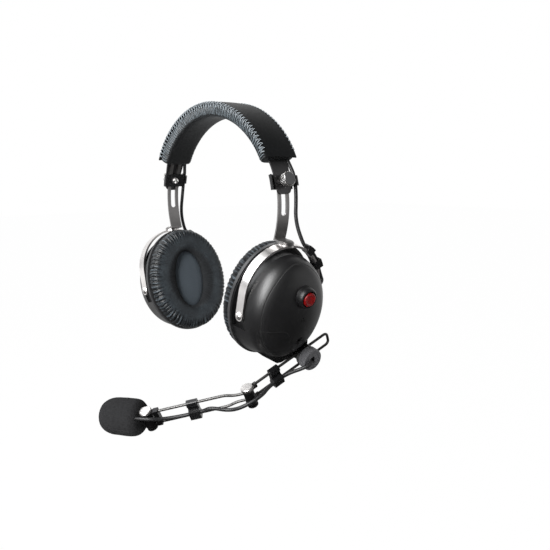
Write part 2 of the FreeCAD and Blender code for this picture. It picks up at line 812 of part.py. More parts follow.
def cupShell(left):
    cavity_height = recess_half_height - shell_wall
    cavity = ovalTurn(domeFace(shell_wall, shell_x - 1, cavity_height), cup_narrowing)
    shell = shellEnvelope()
    inside_bosses = []
    for side in (-1, 1):
        inside = side * (yoke_radius - yoke_thickness / 2 - pivot_depth - 1.6)
        inside_bosses.append(cylinder(pivot_boss_radius - 1, Vec(pivot_point.x, inside, pivot_point.z),
                                      Vec(pivot_point.x, side * 37, pivot_point.z)))
    shell = joined([shell.cut(cavity)] + inside_bosses)
    pins = cylinder(pivot_radius + running_gap, Vec(pivot_point.x, -60, pivot_point.z),
                    Vec(pivot_point.x, 60, pivot_point.z))
    cuts = [pins, leadEntry()]
    if not left:
        return shell.cut(cuts)
    posts = []
    for side in (-1, 1):
        post_y = button_back + side * board_post_spacing / 2
        post = cylinder(board_post_radius, Vec(board_x + board_thickness, post_y, cup_z + button_rise),
                        Vec(shell_apex_x, post_y, cup_z + button_rise))
        posts.append(post.common(shellEnvelope()))
    shell = joined([shell] + posts)
    rim_front = bezel_inner_x + bezel_rim_thickness
    cuts.append(cylinder(bezel_radius + running_gap, Vec(rim_front - 1, button_back, cup_z + button_rise),
                         Vec(60, button_back, cup_z + button_rise)))
    cuts.append(cylinder(bezel_rim_radius + 0.2, Vec(bezel_inner_x - 2, button_back, cup_z + button_rise),
                         Vec(rim_front, button_back, cup_z + button_rise)))
    cuts.append(onSocket(cylinder(socket_hole_radius, Vec(0, 0, -20), Vec(0, 0, 20))))
    for turn in (90, 210, 330):
        a = math.radians(turn)
        y = pore_back + pore_spread * math.cos(a)
        z = cup_z - pore_drop + pore_spread * math.sin(a)
        cuts.append(cylinder(pore_radius, Vec(20, y, z), Vec(60, y, z)))
    cuts.append(boomAxisCylinder(boom_stud_radius + running_gap, boom_stud_inner_x - 2, mount_outer_x))
    return shell.cut(cuts)


def earCushion():
    half = cushion_half_height
    round_r = cushion_edge_radius
    bend = round_r * 0.7071
    front = cushion_inner_x
    back = cushion_base_x
    crown_r = (half + cushion_opening_half_height) / 2
    outer = faceOf([
        line(p(back, 0), p(back, half - 1.5)),
        arc(p(back, half - 1.5), p(back - 3.2, half + 0.2), p(front + round_r, half)),
        arc(p(front + round_r, half), p(front + round_r - bend, half - round_r + bend),
            p(front, half - round_r)),
        arc(p(front, half - round_r), p(front - 1.2, crown_r), p(front + 1.6, cushion_opening_half_height)),
        line(p(front + 1.6, cushion_opening_half_height), p(front + 1.6, 0)),
        line(p(front + 1.6, 0), p(back, 0)),
    ])
    opening = cushion_opening_half_height
    flare = faceOf([
        line(p(front - 5, 0), p(front - 5, opening + 12)),
        line(p(front - 5, opening + 12), p(front + 0.4, opening + 6)),
        arc(p(front + 0.4, opening + 6), p(front + 2.2, opening + 1.8), p(front + 6, opening)),
        line(p(front + 6, opening), p(back + 2, opening)),
        line(p(back + 2, opening), p(back + 2, 0)),
        line(p(back + 2, 0), p(front - 5, 0)),
    ])
    return ovalTurn(outer, cup_narrowing).cut(ovalTurn(flare, cushion_opening_narrowing))


def backplate():
    plate = ovalTurn(rectangleFace(flange_x, shell_x, 0, flange_half_height), cup_narrowing)
    lip_height = recess_half_height - shell_wall - 0.4
    lip = ovalTurn(rectangleFace(shell_x, shell_x + 2.5, 0, lip_height), cup_narrowing)
    window = cylinder(driver_window_radius, Vec(flange_x - 5, 0, cup_z), Vec(shell_x + 9, 0, cup_z))
    seat = cylinder(driver_radius + 0.1, Vec(flange_x + 1.2, 0, cup_z), Vec(shell_x + 9, 0, cup_z))
    return joined([plate, lip]).cut([window, seat])


baffle_height = cushion_opening_half_height + baffle_margin
baffle_narrowing = (cushion_opening_half_height * cushion_opening_narrowing + baffle_margin) / baffle_height
baffle_x = flange_x - baffle_thickness


def baffleCloth():
    return ovalTurn(rectangleFace(baffle_x, flange_x, 0, baffle_height), baffle_narrowing)


def earCushionFitted():
    # The cushion's back is hollowed for the foam that it holds against the flange
    room = rectangleFace(baffle_x - soft_gap, flange_x + 1, 0, baffle_height + soft_gap)
    pocket = ovalTurn(room, baffle_narrowing * (1 + soft_gap / baffle_height))
    return earCushion().cut(pocket)


def speakerDriver():
    x = flange_x + 1.3
    rim = cylinder(driver_radius, Vec(x, 0, cup_z), Vec(x + driver_depth, 0, cup_z))
    basket = Part.makeCone(driver_radius - 1.5, magnet_radius, 3, Vec(x + driver_depth, 0, cup_z), OX)
    magnet_x = x + driver_depth + 3
    magnet = cylinder(magnet_radius, Vec(magnet_x - 0.5, 0, cup_z), Vec(magnet_x + magnet_depth, 0, cup_z))
    return joined([rim, basket, magnet])


# Lower side lead, from the yoke's clip into the rear of the shell

lead_entry_points = [Vec(8.0, 42.3, -38.5), Vec(8.7, 31.0, -41.5)]


def leadEntry():
    outside, inside = lead_entry_points
    return cylinder(lead_radius, outside, inside)


def sideLeadLower():
    start = pointOnYoke(lead_yoke_end)
    along = directionOnYoke(lead_yoke_end)
    points = [start, start + along * 8] + [pointOnFoot(q) for q in lead_entry_points]
    return tube(points, lead_radius, name="lead_lower")


# Button of the left cup

def buttonLevel(shape):
    placed = shape.copy()
    placed.translate(Vec(0, button_back, cup_z + button_rise))
    return placed


def turned(points):
    return polygonFace([p(x, r) for x, r in points]).revolve(ORIGIN, OX, 360)


def buttonBezel():
    body = turned([(bezel_inner_x, 0), (bezel_inner_x, bezel_rim_radius),
                   (bezel_inner_x + bezel_rim_thickness, bezel_rim_radius),
                   (bezel_inner_x + bezel_rim_thickness, bezel_radius), (bezel_straight_x, bezel_radius),
                   (bezel_tip_x - 0.8, bezel_tip_radius + 0.5), (bezel_tip_x, bezel_tip_radius - 0.3),
                   (bezel_tip_x, 0)])
    bore = turned([(bezel_inner_x - 1, 0), (bezel_inner_x - 1, cap_collar_radius + 0.2),
                   (cap_stop_x, cap_collar_radius + 0.2), (cap_stop_x, cap_radius + running_gap),
                   (bezel_tip_x + 1, cap_radius + running_gap), (bezel_tip_x + 1, 0)])
    return buttonLevel(body.cut(bore))


collar_front = cap_stop_x - 0.1
collar_back = collar_front - cap_collar_thickness
switch_face = board_x + board_thickness + switch_height


def buttonCap():
    tip = bezel_tip_x + cap_proud
    out, up = capMiddle(cap_radius - 0.8, 0.4)
    body = faceOf([
        line(p(collar_back, 0), p(collar_back, cap_collar_radius)),
        line(p(collar_back, cap_collar_radius), p(collar_front, cap_collar_radius)),
        line(p(collar_front, cap_collar_radius), p(collar_front, cap_radius)),
        line(p(collar_front, cap_radius), p(tip - 1.0, cap_radius)),
        arc(p(tip - 1.0, cap_radius), p(tip - 0.75, cap_radius - 0.45), p(tip - 0.4, cap_radius - 0.8)),
        arc(p(tip - 0.4, cap_radius - 0.8), p(tip - 0.4 + up, out), p(tip, 0)),
        line(p(tip, 0), p(collar_back, 0)),
    ]).revolve(ORIGIN, OX, 360)
    stem_end = switch_face + button_travel + 0.1
    stem = turned([(stem_end, 0), (stem_end, stem_radius),
                   (collar_back + 0.2, stem_radius), (collar_back + 0.2, 0)])
    return buttonLevel(joined([body, stem]))


def buttonSpring():
    sleeve = turned([(switch_face + 0.1, spring_radius - spring_wall), (switch_face + 0.1, spring_radius),
                     (collar_back - 0.1, spring_radius), (collar_back - 0.1, spring_radius - spring_wall)])
    return buttonLevel(sleeve)


def switchBoard():
    half_w = board_width / 2
    half_h = board_height / 2
    board = box(board_x, board_x + board_thickness, -half_w, half_w, -half_h, half_h)
    half = switch_size / 2
    switch = box(board_x + board_thickness - 0.1, switch_face, -half, half, -half, half)
    collar = cylinder(spring_radius + 0.8, Vec(switch_face - 1.5, 0, 0), Vec(switch_face, 0, 0))
    return buttonLevel(joined([board, switch, collar]))


# Jack socket, in a frame with z out of the shell

socket_turn = math.degrees(math.asin(socket_drop / crown_radius))


def onSocket(shape):
    placed = shape.copy()
    placed.rotate(ORIGIN, OY, 90 + socket_turn)
    reach = crown_radius
    out = Vec(math.cos(math.radians(socket_turn)) * reach, 0, -math.sin(math.radians(socket_turn)) * reach)
    placed.translate(Vec(crown_centre_x, socket_back, cup_z) + out)
    return placed


def jackSocket():
    sleeve = cylinder(socket_sleeve_radius, Vec(0, 0, -socket_bore_depth - 1.5), Vec(0, 0, -socket_recess))
    body_top = -shell_wall - socket_body_sunk
    body = cylinder(socket_body_radius, Vec(0, 0, body_top - socket_body_length), Vec(0, 0, body_top))
    bore = cylinder(socket_bore_radius, Vec(0, 0, -socket_bore_depth), Vec(0, 0, 5))
    return onSocket(joined([sleeve, body]).cut(bore))


# Boom. In its frame x runs forward along the wires, y out and z square to both

boom_y = boom_back
boom_z = cup_z - boom_drop
boom_x = mount_outer_x + slide_gap + 0.2 + clamp_block_width / 2
slope = math.radians(boom_slope)
boom_forward = Vec(0, -math.cos(slope), -math.sin(slope))
boom_up = Vec(0, -math.sin(slope), math.cos(slope))


def moved(frame, x, y, z, turn=0.0, axis=OZ):
    return frame.multiply(FreeCAD.Placement(Vec(x, y, z), FreeCAD.Rotation(axis, turn)))


boom_rotation = FreeCAD.Rotation(boom_forward, OX, boom_up, "XZY")
boom_frame = FreeCAD.Placement(Vec(boom_x, boom_y, boom_z), boom_rotation)
elbow_frame = moved(boom_frame, elbow_reach, 0, -elbow_drop, elbow_twist, OX)
front_frame = moved(elbow_frame, 0, 0, 0, -boom_turn)
mic_fork_frame = moved(front_frame, front_reach, 0, 0)
mic_frame = moved(mic_fork_frame, 0, 0, 0, -mic_turn)
capsule_frame = moved(mic_frame, 0, 0, 0, -mic_lean, OY)


def boomAxisCylinder(radius, x0, x1):
    return cylinder(radius, Vec(x0, boom_y, boom_z), Vec(x1, boom_y, boom_z))


def boomMount():
    # A boss round the boom's axis, run into a chin under the shell
    boss = boomAxisCylinder(mount_radius, mount_inner_x, mount_outer_x)
    outline = [
        (chin_front_y, cup_z - chin_front_drop), (chin_tip_front_y, cup_z - chin_tip_drop),
        (chin_tip_back_y, cup_z - chin_tip_drop), (chin_back_y, cup_z - chin_back_drop),
        (boom_y - mount_radius * 0.8, boom_z - mount_radius * 0.6), (boom_y + mount_radius, boom_z),
        (boom_y + mount_radius * 0.7, boom_z + 2 * mount_radius),
    ]
    chin = polygonFace([Vec(mount_inner_x, y, z) for y, z in outline])
    chin = chin.extrude(Vec(mount_outer_x - mount_inner_x, 0, 0))
    mount = joined([boss, chin]).cut(shellEnvelope())
    bore = boomAxisCylinder(boom_stud_radius + running_gap, boom_stud_inner_x - 2, mount_outer_x + 1)
    return mount.cut(bore)


def boomClamp():
    half_w = clamp_block_width / 2
    half_l = clamp_block_length / 2
    half_h = clamp_block_height / 2
    block = box(-half_l, half_l, -half_w, half_w, -half_h, half_h)
    block = block.makeFillet(1.5, [e for e in block.Edges if abs(e.tangentAt(e.FirstParameter).y) > 0.9])
    stud_back = boom_stud_inner_x - boom_x
    stud_front = half_w + slide_gap + knob_height - boom_stud_sunk
    stud = cylinder(boom_stud_radius, Vec(0, stud_back, 0), Vec(0, stud_front, 0))
    bore = cylinder(boom_stud_bore, Vec(0, stud_back - 1, 0), Vec(0, stud_front + 1, 0))
    bevels = []
    for side in (-1, 1):
        low = side * (half_h - clamp_block_bevel - 1)
        high = side * (half_h + 1)
        corner = polygonFace([Vec(-20, -half_w - 1, low), Vec(-20, clamp_block_bevel + 1 - half_w, high),
                              Vec(-20, -half_w - 1, high)])
        bevels.append(corner.extrude(Vec(40, 0, 0)))
    wires = [cylinder(wire_radius + running_gap, Vec(-30, 0, z), Vec(30, 0, z))
             for z in (-wire_half_spacing, wire_half_spacing)]
    return placedIn(boom_frame, joined([block.cut(bevels), stud]).cut([bore] + wires))


def boomKnob():
    start = clamp_block_width / 2 + slide_gap
    disc = toothedDisc(knob_radius, knob_height, knob_teeth, start)
    disc = disc.cut(cylinder(boom_stud_radius + running_gap, Vec(0, 0, 0), Vec(0, 0, 40)))
    disc.rotate(ORIGIN, OX, -90)
    return placedIn(boom_frame, disc)


fork_back = -(fork_bridge_near + fork_bridge_depth)


def rearWire():
    s = wire_half_spacing
    front = elbow_reach - ferrule_near - 0.4
    points = [Vec(front, 0, s), Vec(-loop_reach, 0, s), Vec(-loop_reach, 0, -s), Vec(front, 0, -s)]
    return placedIn(boom_frame, tube(points, wire_radius, corner=wire_corner, name="boom_rear_wire"))


def lugs(back):
    # Two flat lugs about a screw along z, reaching back from it
    high = fork_half_height
    half = fork_bridge_half_width
    levels = [(high - fork_lug_thickness, high), (-high, -high + fork_lug_thickness)]
    return [joined([cylinder(fork_lug_radius, Vec(0, 0, low), Vec(0, 0, top)),
                    box(-back, 0, -half, half, low, top)]) for low, top in levels]


def elbowFork():
    # Each lug has a ferrule for one of the rear wires, which are raised and turned against the screw
    pieces = []
    for s, lug in zip((1, -1), lugs(ferrule_near + ferrule_length)):
        z = s * wire_half_spacing + elbow_drop
        near = Vec(-ferrule_near, 0, z)
        far = Vec(-ferrule_near - ferrule_length, 0, z)
        ferrule = cylinder(wire_radius + ferrule_wall, far, near)
        end = cylinder(wire_radius, far - OX, near - OX * 0.4)
        for shape in (ferrule, end):
            shape.rotate(ORIGIN, OX, -elbow_twist)
        pieces.append(joined([lug, ferrule]).cut([end, screwHole()]))
    return placedIn(elbow_frame, Part.makeCompound(pieces))


def micFork():
    # The two lugs are joined by a bridge that holds the front wires
    half = fork_bridge_half_width
    tall = wire_half_spacing + wire_radius + fork_bridge_wall
    bridge = box(fork_back, -fork_bridge_near, -half, half, -tall, tall)
    ends = [cylinder(wire_radius, Vec(fork_back - 1, 0, s * wire_half_spacing),
                     Vec(fork_back + socketed_wire, 0, s * wire_half_spacing)) for s in (-1, 1)]
    return placedIn(mic_fork_frame, joined([bridge] + lugs(fork_bridge_near + 1.5)).cut([screwHole()] + ends))


def barrel():
    half = fork_half_height - fork_lug_thickness - slide_gap
    return cylinder(barrel_radius, Vec(0, 0, -half), Vec(0, 0, half))


def screwHole():
    return cylinder(screw_radius + running_gap, Vec(0, 0, -20), Vec(0, 0, 20))


def swivelScrew():
    head = toothedDisc(screw_head_radius, screw_head_height, screw_teeth, fork_half_height + slide_gap)
    low = -fork_half_height - screw_nut_height - 0.3
    shank = cylinder(screw_radius, Vec(0, 0, low), Vec(0, 0, fork_half_height + 0.5))
    return joined([head, shank])


def swivelNut():
    nut = toothedDisc(screw_nut_radius, screw_nut_height, screw_teeth, -fork_half_height - screw_nut_height)
    return nut.cut(screwHole())


def elbowBarrel():
    ends = [cylinder(wire_radius, Vec(front_wire_start, 0, s * front_wire_start_half_spacing),
                     Vec(barrel_radius + 1, 0, s * front_wire_start_half_spacing)) for s in (-1, 1)]
    return placedIn(front_frame, barrel().cut(ends + [screwHole()]))


def frontWires():
    end = front_reach + fork_back + socketed_wire
    wires = []
    for s in (-1, 1):
        near = s * front_wire_start_half_spacing
        far = s * wire_half_spacing
        points = [Vec(front_wire_start, 0, near), Vec(splay_start, 0, near),
                  Vec(splay_end, 0, far), Vec(end, 0, far)]
        wires.append(placedIn(front_frame, tube(points, wire_radius)))
    return Part.makeCompound(wires)


def leadClip(frame, reach, lead_drop):
    # Two lobes with a waist between them; the lower one also holds the lead
    half_l = lead_clip_length / 2
    half_w = lead_clip_half_width
    high = lead_clip_half_height
    far = lead_out + lead_radius + lead_clip_wall
    top = -lead_drop + lead_radius + lead_clip_wall
    outline = [(-half_w, -high), (far, -high), (far, top), (lead_clip_waist, top + 1.5),
               (lead_clip_waist, wire_half_spacing - 2.6), (half_w, wire_half_spacing - 2.0), (half_w, high),
               (-half_w, high), (-half_w, wire_half_spacing - 2.0),
               (-lead_clip_waist, wire_half_spacing - 2.6),
               (-lead_clip_waist, 2.6 - wire_half_spacing), (-half_w, 2.0 - wire_half_spacing)]
    block = polygonFace([Vec(reach - half_l, y, z) for y, z in outline]).extrude(Vec(lead_clip_length, 0, 0))
    corners = [e for e in block.Edges
               if abs(e.tangentAt(e.FirstParameter).x) > 0.9 and abs(e.CenterOfMass.z) > high - 0.1]
    block = block.makeFillet(1.1, corners)
    cuts = [cylinder(wire_radius, Vec(reach - 20, 0, z), Vec(reach + 20, 0, z))
            for z in (-wire_half_spacing, wire_half_spacing)]
    cuts.append(cylinder(lead_radius + running_gap, Vec(reach - 20, lead_out, -lead_drop),
                         Vec(reach + 20, lead_out, -lead_drop)))
    return placedIn(frame, block.cut(cuts))


# Microphone

def micHousing():
    start = mic_arm_reach + mic_capsule_depth
    arm = box(3, start + 1, -mic_arm_half_width, mic_arm_half_width, -mic_arm_half_height, mic_arm_half_height)
    capsule = cylinder(mic_capsule_radius, Vec(start, 0, 0), Vec(start + mic_capsule_length, 0, 0))
    leaning = placedIn(FreeCAD.Placement(ORIGIN, FreeCAD.Rotation(OY, -mic_lean)), joined([arm, capsule]))
    return placedIn(mic_frame, joined([barrel(), leaning]).cut(screwHole()))


def windscreen():
    half = windscreen_radius
    near = windscreen_near_round
    r = windscreen_far_round
    length = windscreen_length
    bend = near * 0.7071
    face = faceOf([
        line(p(0, 0), p(0, half - near)),
        arc(p(0, half - near), p(near - bend, half - near + bend), p(near, half)),
        line(p(near, half), p(length - r - 3, half)),
        arc(p(length - r - 3, half), p(length - 0.29 * r - 0.9, half - 0.29 * r - 0.6),
            p(length, half - r - 2)),
        line(p(length, half - r - 2), p(length, 0)),
        line(p(length, 0), p(0, 0)),
    ])
    foam = face.revolve(ORIGIN, OX, 360)
    foam.translate(Vec(mic_arm_reach, 0, 0))
    room_start = mic_arm_reach + mic_capsule_depth - running_gap
    room = cylinder(mic_capsule_radius + running_gap, Vec(room_start, 0, 0),
                    Vec(room_start + mic_capsule_length + 2 * running_gap, 0, 0))
    arm_half = mic_arm_half_width + running_gap
    arm_high = mic_arm_half_height + running_gap
    arm = box(mic_arm_reach - 2, room_start + 1, -arm_half, arm_half, -arm_high, arm_high)
    foam = placedIn(capsule_frame, foam.cut([room, arm]))
    duct = cylinder(lead_radius + 0.1, lead_last_turn, lead_last_turn + (lead_end - lead_last_turn) * 1.02)
    return foam.cut(placedIn(mic_frame, duct))


# Microphone lead, in three stretches: out of the knob to the first clip, past the elbow to the second,
# and past the swivel into the windscreen

lead_last_turn = Vec(-4.0, 7.2, 5.9)
lead_end = Vec(10.4, 7.2, 7.2)


def micLeadRear():
    over_knob = clamp_block_width / 2 + slide_gap + knob_height + lead_radius + 0.8
    clip = rear_clip_reach - lead_clip_length / 2
    points = [Vec(0, -6, 0), Vec(0, over_knob, 0), Vec(10.5, over_knob, 0.9),
              Vec(clip - 4.4, lead_out, -lead_drop_rear), Vec(rear_clip_reach, lead_out, -lead_drop_rear)]
    return placedIn(boom_frame, tube(points, lead_radius, name="mic_lead_rear"))


def micLeadMiddle():
    clip_end = rear_clip_reach + lead_clip_length / 2
    next_clip = front_clip_reach - lead_clip_length / 2
    rear = [Vec(rear_clip_reach, lead_out, -lead_drop_rear), Vec(clip_end + 5, lead_out, -lead_drop_rear),
            Vec(elbow_reach - 6.8, 8.3, -2.0)]
    front = [Vec(5.5, 9.4, -2.6), Vec(19.0, 6.4, -5.8), Vec(34.0, 4.0, 0.0),
             Vec(next_clip - 2.5, lead_out, -lead_drop_front),
             Vec(front_clip_reach, lead_out, -lead_drop_front)]
    points = [boom_frame.multVec(q) for q in rear] + [front_frame.multVec(q) for q in front]
    return tube(points, lead_radius, name="mic_lead_middle")


def micLeadFront():
    clip_end = front_clip_reach + lead_clip_length / 2
    front = [Vec(front_clip_reach, lead_out, -lead_drop_front),
             Vec(clip_end + 6.5, lead_out, -lead_drop_front),
             Vec(front_reach - 13.9, 4.2, -0.6)]
    ends = [mic_frame.multVec(q) for q in (lead_last_turn, lead_end)]
    points = [front_frame.multVec(q) for q in front] + ends
    return tube(points, lead_radius, name="mic_lead_front")


def main():
    save(springBand(), "spring_band")
    save(headbandCushion(), "headband_cushion")
    save(headbandCover(), "headband_cover")
    crossover = alongBand(circleFace(Vec(0, lead_side, 0), OX, lead_radius), clamp_angle + guide_angle)
    save(crossover, "crossover_lead")
    plate = clampPlate()
    nut = clampNut()
    save(Part.makeCompound([plate, mirrored(plate)]), "clamp_plates")
    save(Part.makeCompound([nut, mirrored(nut)]), "clamp_nuts")
    sides = [
        (thumbscrew(), "thumbscrew"), (slottedArm(), "slotted_arm"), (swivelRivet(), "swivel_rivet"),
        (yoke(), "yoke"), (pivotScrews(), "pivot_screws"), (yokeClips(), "yoke_clips"),
        (sideLeadLower(), "lead_lower"),
        (onFoot(earCushionFitted()), "ear_cushion"), (onFoot(baffleCloth()), "baffle_cloth"),
        (onFoot(backplate()), "backplate"), (onFoot(speakerDriver()), "speaker_driver"),
    ]
    for shape, name in sides:
        save(shape, "left_" + name)
        save(mirrored(shape), "right_" + name)
    save(sideLeadUpper(left_lead_hang), "left_lead_upper")
    save(sideLeadMiddle(left_lead_hang), "left_lead_middle")
    save(mirrored(sideLeadUpper(right_lead_hang)), "right_lead_upper")
    save(mirrored(sideLeadMiddle(right_lead_hang)), "right_lead_middle")
    save(onFoot(cupShell(True)), "left_cup_shell")
    save(mirrored(onFoot(cupShell(False))), "right_cup_shell")
    left_cup_pieces = [
        (buttonBezel(), "button_bezel"), (buttonCap(), "button_cap"), (buttonSpring(), "button_spring"),
        (switchBoard(), "switch_board"), (jackSocket(), "jack_socket"), (boomMount(), "boom_mount"),
        (boomClamp(), "boom_clamp"), (boomKnob(), "boom_knob"), (rearWire(), "boom_rear_wire"),
        (elbowFork(), "elbow_fork"),
        (placedIn(elbow_frame, swivelScrew()), "elbow_screw"),
        (placedIn(elbow_frame, swivelNut()), "elbow_nut"),
        (elbowBarrel(), "elbow_barrel"), (frontWires(), "boom_front_wires"),
        (leadClip(boom_frame, rear_clip_reach, lead_drop_rear), "rear_lead_clip"),
        (leadClip(front_frame, front_clip_reach, lead_drop_front), "front_lead_clip"),
        (micFork(), "mic_fork"), (placedIn(mic_fork_frame, swivelScrew()), "mic_screw"),
        (placedIn(mic_fork_frame, swivelNut()), "mic_nut"), (micHousing(), "mic_housing"),
        (windscreen(), "windscreen"), (micLeadRear(), "mic_lead_rear"), (micLeadMiddle(), "mic_lead_middle"),
        (micLeadFront(), "mic_lead_front"),
    ]
    for shape, name in left_cup_pieces:
        save(onFoot(shape), name)


main()
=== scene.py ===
import bpy
import math
from mathutils import Matrix, Vector, noise


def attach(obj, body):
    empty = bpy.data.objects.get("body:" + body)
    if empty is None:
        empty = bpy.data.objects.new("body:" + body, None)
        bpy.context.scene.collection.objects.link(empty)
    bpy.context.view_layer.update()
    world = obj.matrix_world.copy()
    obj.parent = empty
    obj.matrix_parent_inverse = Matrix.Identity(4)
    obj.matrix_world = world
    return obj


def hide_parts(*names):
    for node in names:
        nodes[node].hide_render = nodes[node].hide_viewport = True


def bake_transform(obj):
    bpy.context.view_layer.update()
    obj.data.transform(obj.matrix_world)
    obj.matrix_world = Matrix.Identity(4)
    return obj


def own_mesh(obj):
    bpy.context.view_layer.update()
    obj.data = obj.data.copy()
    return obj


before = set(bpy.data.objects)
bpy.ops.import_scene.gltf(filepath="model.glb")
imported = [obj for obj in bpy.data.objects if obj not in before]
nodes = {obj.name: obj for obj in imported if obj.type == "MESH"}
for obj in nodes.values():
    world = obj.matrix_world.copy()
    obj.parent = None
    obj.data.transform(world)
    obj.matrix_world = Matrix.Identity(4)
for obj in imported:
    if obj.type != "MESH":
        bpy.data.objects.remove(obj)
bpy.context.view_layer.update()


# Selecting, placing and finishing

def clearSelection():
    if bpy.context.object and bpy.context.object.mode != "OBJECT":
        bpy.ops.object.mode_set(mode="OBJECT")
    bpy.ops.object.select_all(action="DESELECT")


def pick(piece):
    clearSelection()
    piece.select_set(True)
    bpy.context.view_layer.objects.active = piece


def applyModifiers(piece):
    pick(piece)
    for modifier in list(piece.modifiers):
        bpy.ops.object.modifier_apply(modifier=modifier.name)


def show(name, data):
    made = bpy.data.objects.new(name, data)
    bpy.context.scene.collection.objects.link(made)
    return made


def dress(piece, finish):
    piece.data.materials.clear()
    piece.data.materials.append(finish.material)


def smooth(piece, angle=None):
    pick(piece)
    if angle is None:
        bpy.ops.object.shade_smooth()
    else:
        bpy.ops.object.shade_smooth_by_angle(angle=math.radians(angle))


def corners(node):
    return [node.matrix_world @ vertex.co for vertex in node.data.vertices]


def portion(value, whole):
    # How much of the whole a value makes up, from 0 to 1
    return max(0.0, min(1.0, value / whole))


# Camera

view = {
    "place": (0.521243, -0.360882, -0.045154),
    "right": (0.629927, 0.776637, -0.005176),
    "up": (-0.114255, 0.099259, 0.988480),
    "lens": 45.30, "sensor": 36,
}


def placeCamera():
    data = bpy.data.cameras.new("camera")
    camera = show("camera", data)
    right = Vector(view["right"]).normalized()
    up = Vector(view["up"]).normalized()
    back = right.cross(up)
    turn = Matrix((right, up, back)).transposed().to_4x4()
    camera.matrix_world = Matrix.Translation(view["place"]) @ turn
    data.sensor_width = view["sensor"]
    data.lens = view["lens"]
    bpy.context.scene.camera = camera
    return right, up, back


viewRight, viewUp, viewBack = placeCamera()
print("camera placed")


# Finishes

def tone(red, green, blue):
    # A screen colour, 0 to 255, as the shader wants it
    def level(value):
        value /= 255
        return value / 12.92 if value <= 0.04045 else ((value + 0.055) / 1.055) ** 2.4
    return (level(red), level(green), level(blue), 1.0)


def scaled(colour, factor, added=0.0):
    return tuple(min(1.0, factor * part + added) for part in colour[:3]) + (1.0,)


class Level:
    # One socket; sums written with it add Math nodes
    def __init__(self, wiring, socket):
        self.wiring = wiring
        self.socket = socket

    def maths(self, operation, *parts):
        return self.wiring.node("ShaderNodeMath", {"operation": operation}, dict(enumerate(parts)))

    def __add__(self, other):
        return self.maths("ADD", self, other)

    def __radd__(self, other):
        return self.maths("ADD", other, self)

    def __sub__(self, other):
        return self.maths("SUBTRACT", self, other)

    def __rsub__(self, other):
        return self.maths("SUBTRACT", other, self)

    def __mul__(self, other):
        return self.maths("MULTIPLY", self, other)

    def __rmul__(self, other):
        return self.maths("MULTIPLY", other, self)

    def __pow__(self, other):
        return self.maths("POWER", self, other)

    def __abs__(self):
        return self.maths("ABSOLUTE", self)

    def sine(self):
        return self.maths("SINE", self)

    def least(self, other):
        return self.maths("MINIMUM", self, other)

    def most(self, other):
        return self.maths("MAXIMUM", self, other)


class Wiring:
    # The nodes of one material, or of the world
    def __init__(self, tree):
        self.tree = tree

    def feed(self, socket, value):
        if isinstance(value, Level):
            self.tree.links.new(value.socket, socket)
        else:
            socket.default_value = value

    def node(self, kind, settings=None, values=None, output=0):
        made = self.tree.nodes.new(kind)
        for key, value in (settings or {}).items():
            setattr(made, key, value)
        for key, value in (values or {}).items():
            self.feed(made.inputs[key], value)
        return Level(self, made.outputs[output])

    def spread(self, value, low, high, start=0.0, end=1.0):
        values = {"Value": value, "From Min": low, "From Max": high, "To Min": start, "To Max": end}
        return self.node("ShaderNodeMapRange", {"clamp": True, "interpolation_type": "SMOOTHSTEP"}, values)

    def dot(self, place, direction):
        values = {0: place, 1: direction}
        return self.node("ShaderNodeVectorMath", {"operation": "DOT_PRODUCT"}, values, "Value")

    def ray(self, kind):
        return self.node("ShaderNodeLightPath", output=f"Is {kind} Ray")

    def mixShader(self, factor, first, second):
        return self.node("ShaderNodeMixShader", None, {0: factor, 1: first, 2: second})


class Finish(Wiring):
    # One material
    def __init__(self, name):
        self.material = bpy.data.materials.new(name)
        self.material.use_nodes = True
        super().__init__(self.material.node_tree)
        self.shader = self.tree.nodes["Principled BSDF"]
        self.place = self.node("ShaderNodeTexCoord", output="Object")

    def set(self, **values):
        for key, value in values.items():
            self.feed(self.shader.inputs[key.replace("_", " ")], value)

    def noise(self, scale, detail=3.0, rough=0.55, at=None):
        values = {"Vector": at or self.place, "Scale": scale, "Detail": detail, "Roughness": rough}
        return self.node("ShaderNodeTexNoise", None, values, "Fac")

    def cells(self, scale):
        return self.node("ShaderNodeTexVoronoi", None, {"Vector": self.place, "Scale": scale}, "Distance")

    def blendColour(self, factor, first, second):
        made = self.tree.nodes.new("ShaderNodeMix")
        made.data_type = "RGBA"
        for place, value in ((0, factor), (6, first), (7, second)):
            self.feed(made.inputs[place], value)
        return Level(self, made.outputs[2])

    def bump(self, height, distance, strength=1.0):
        values = {"Height": height, "Distance": distance, "Strength": strength}
        return self.node("ShaderNodeBump", None, values, "Normal")

    def along(self, direction, start=(0, 0, 0)):
        # How far a point lies from start along a direction
        shifted = self.node("ShaderNodeVectorMath", {"operation": "SUBTRACT"}, {0: self.place, 1: start})
        return self.dot(shifted, direction)

    def stretched(self, scale):
        return self.node("ShaderNodeMapping", None, {"Vector": self.place, "Scale": scale}, "Vector")

    def own(self, name):
        # A value that the piece's mesh carries
        return self.node("ShaderNodeAttribute", {"attribute_name": name}, None, "Fac")


# Frames of the two cups, in metres; side is 1 on the wearer's left and -1 on the right

lean = math.radians(13.9)
rivet = Vector((0.0909, 0, -0.1036))
backward = Vector((0, 1, 0))
outLeft = Vector((math.cos(lean), 0, -math.sin(lean)))
upLeft = Vector((math.sin(lean), 0, math.cos(lean)))
cupCentre = rivet - 0.0543 * upLeft


def cupPoint(side, out, back, up):
    # A point by how far it lies out of the cup, back, and up the cup from its middle
    point = cupCentre + outLeft * out + upLeft * up
    return Vector((side * point.x, back, point.z))


def cupFrame(side):
    out = Vector((side * outLeft.x, 0, outLeft.z))
    up = Vector((side * upLeft.x, 0, upLeft.z))
    return out, up, cupPoint(side, 0, 0, 0)


def sideName(side):
    return "left" if side > 0 else "right"


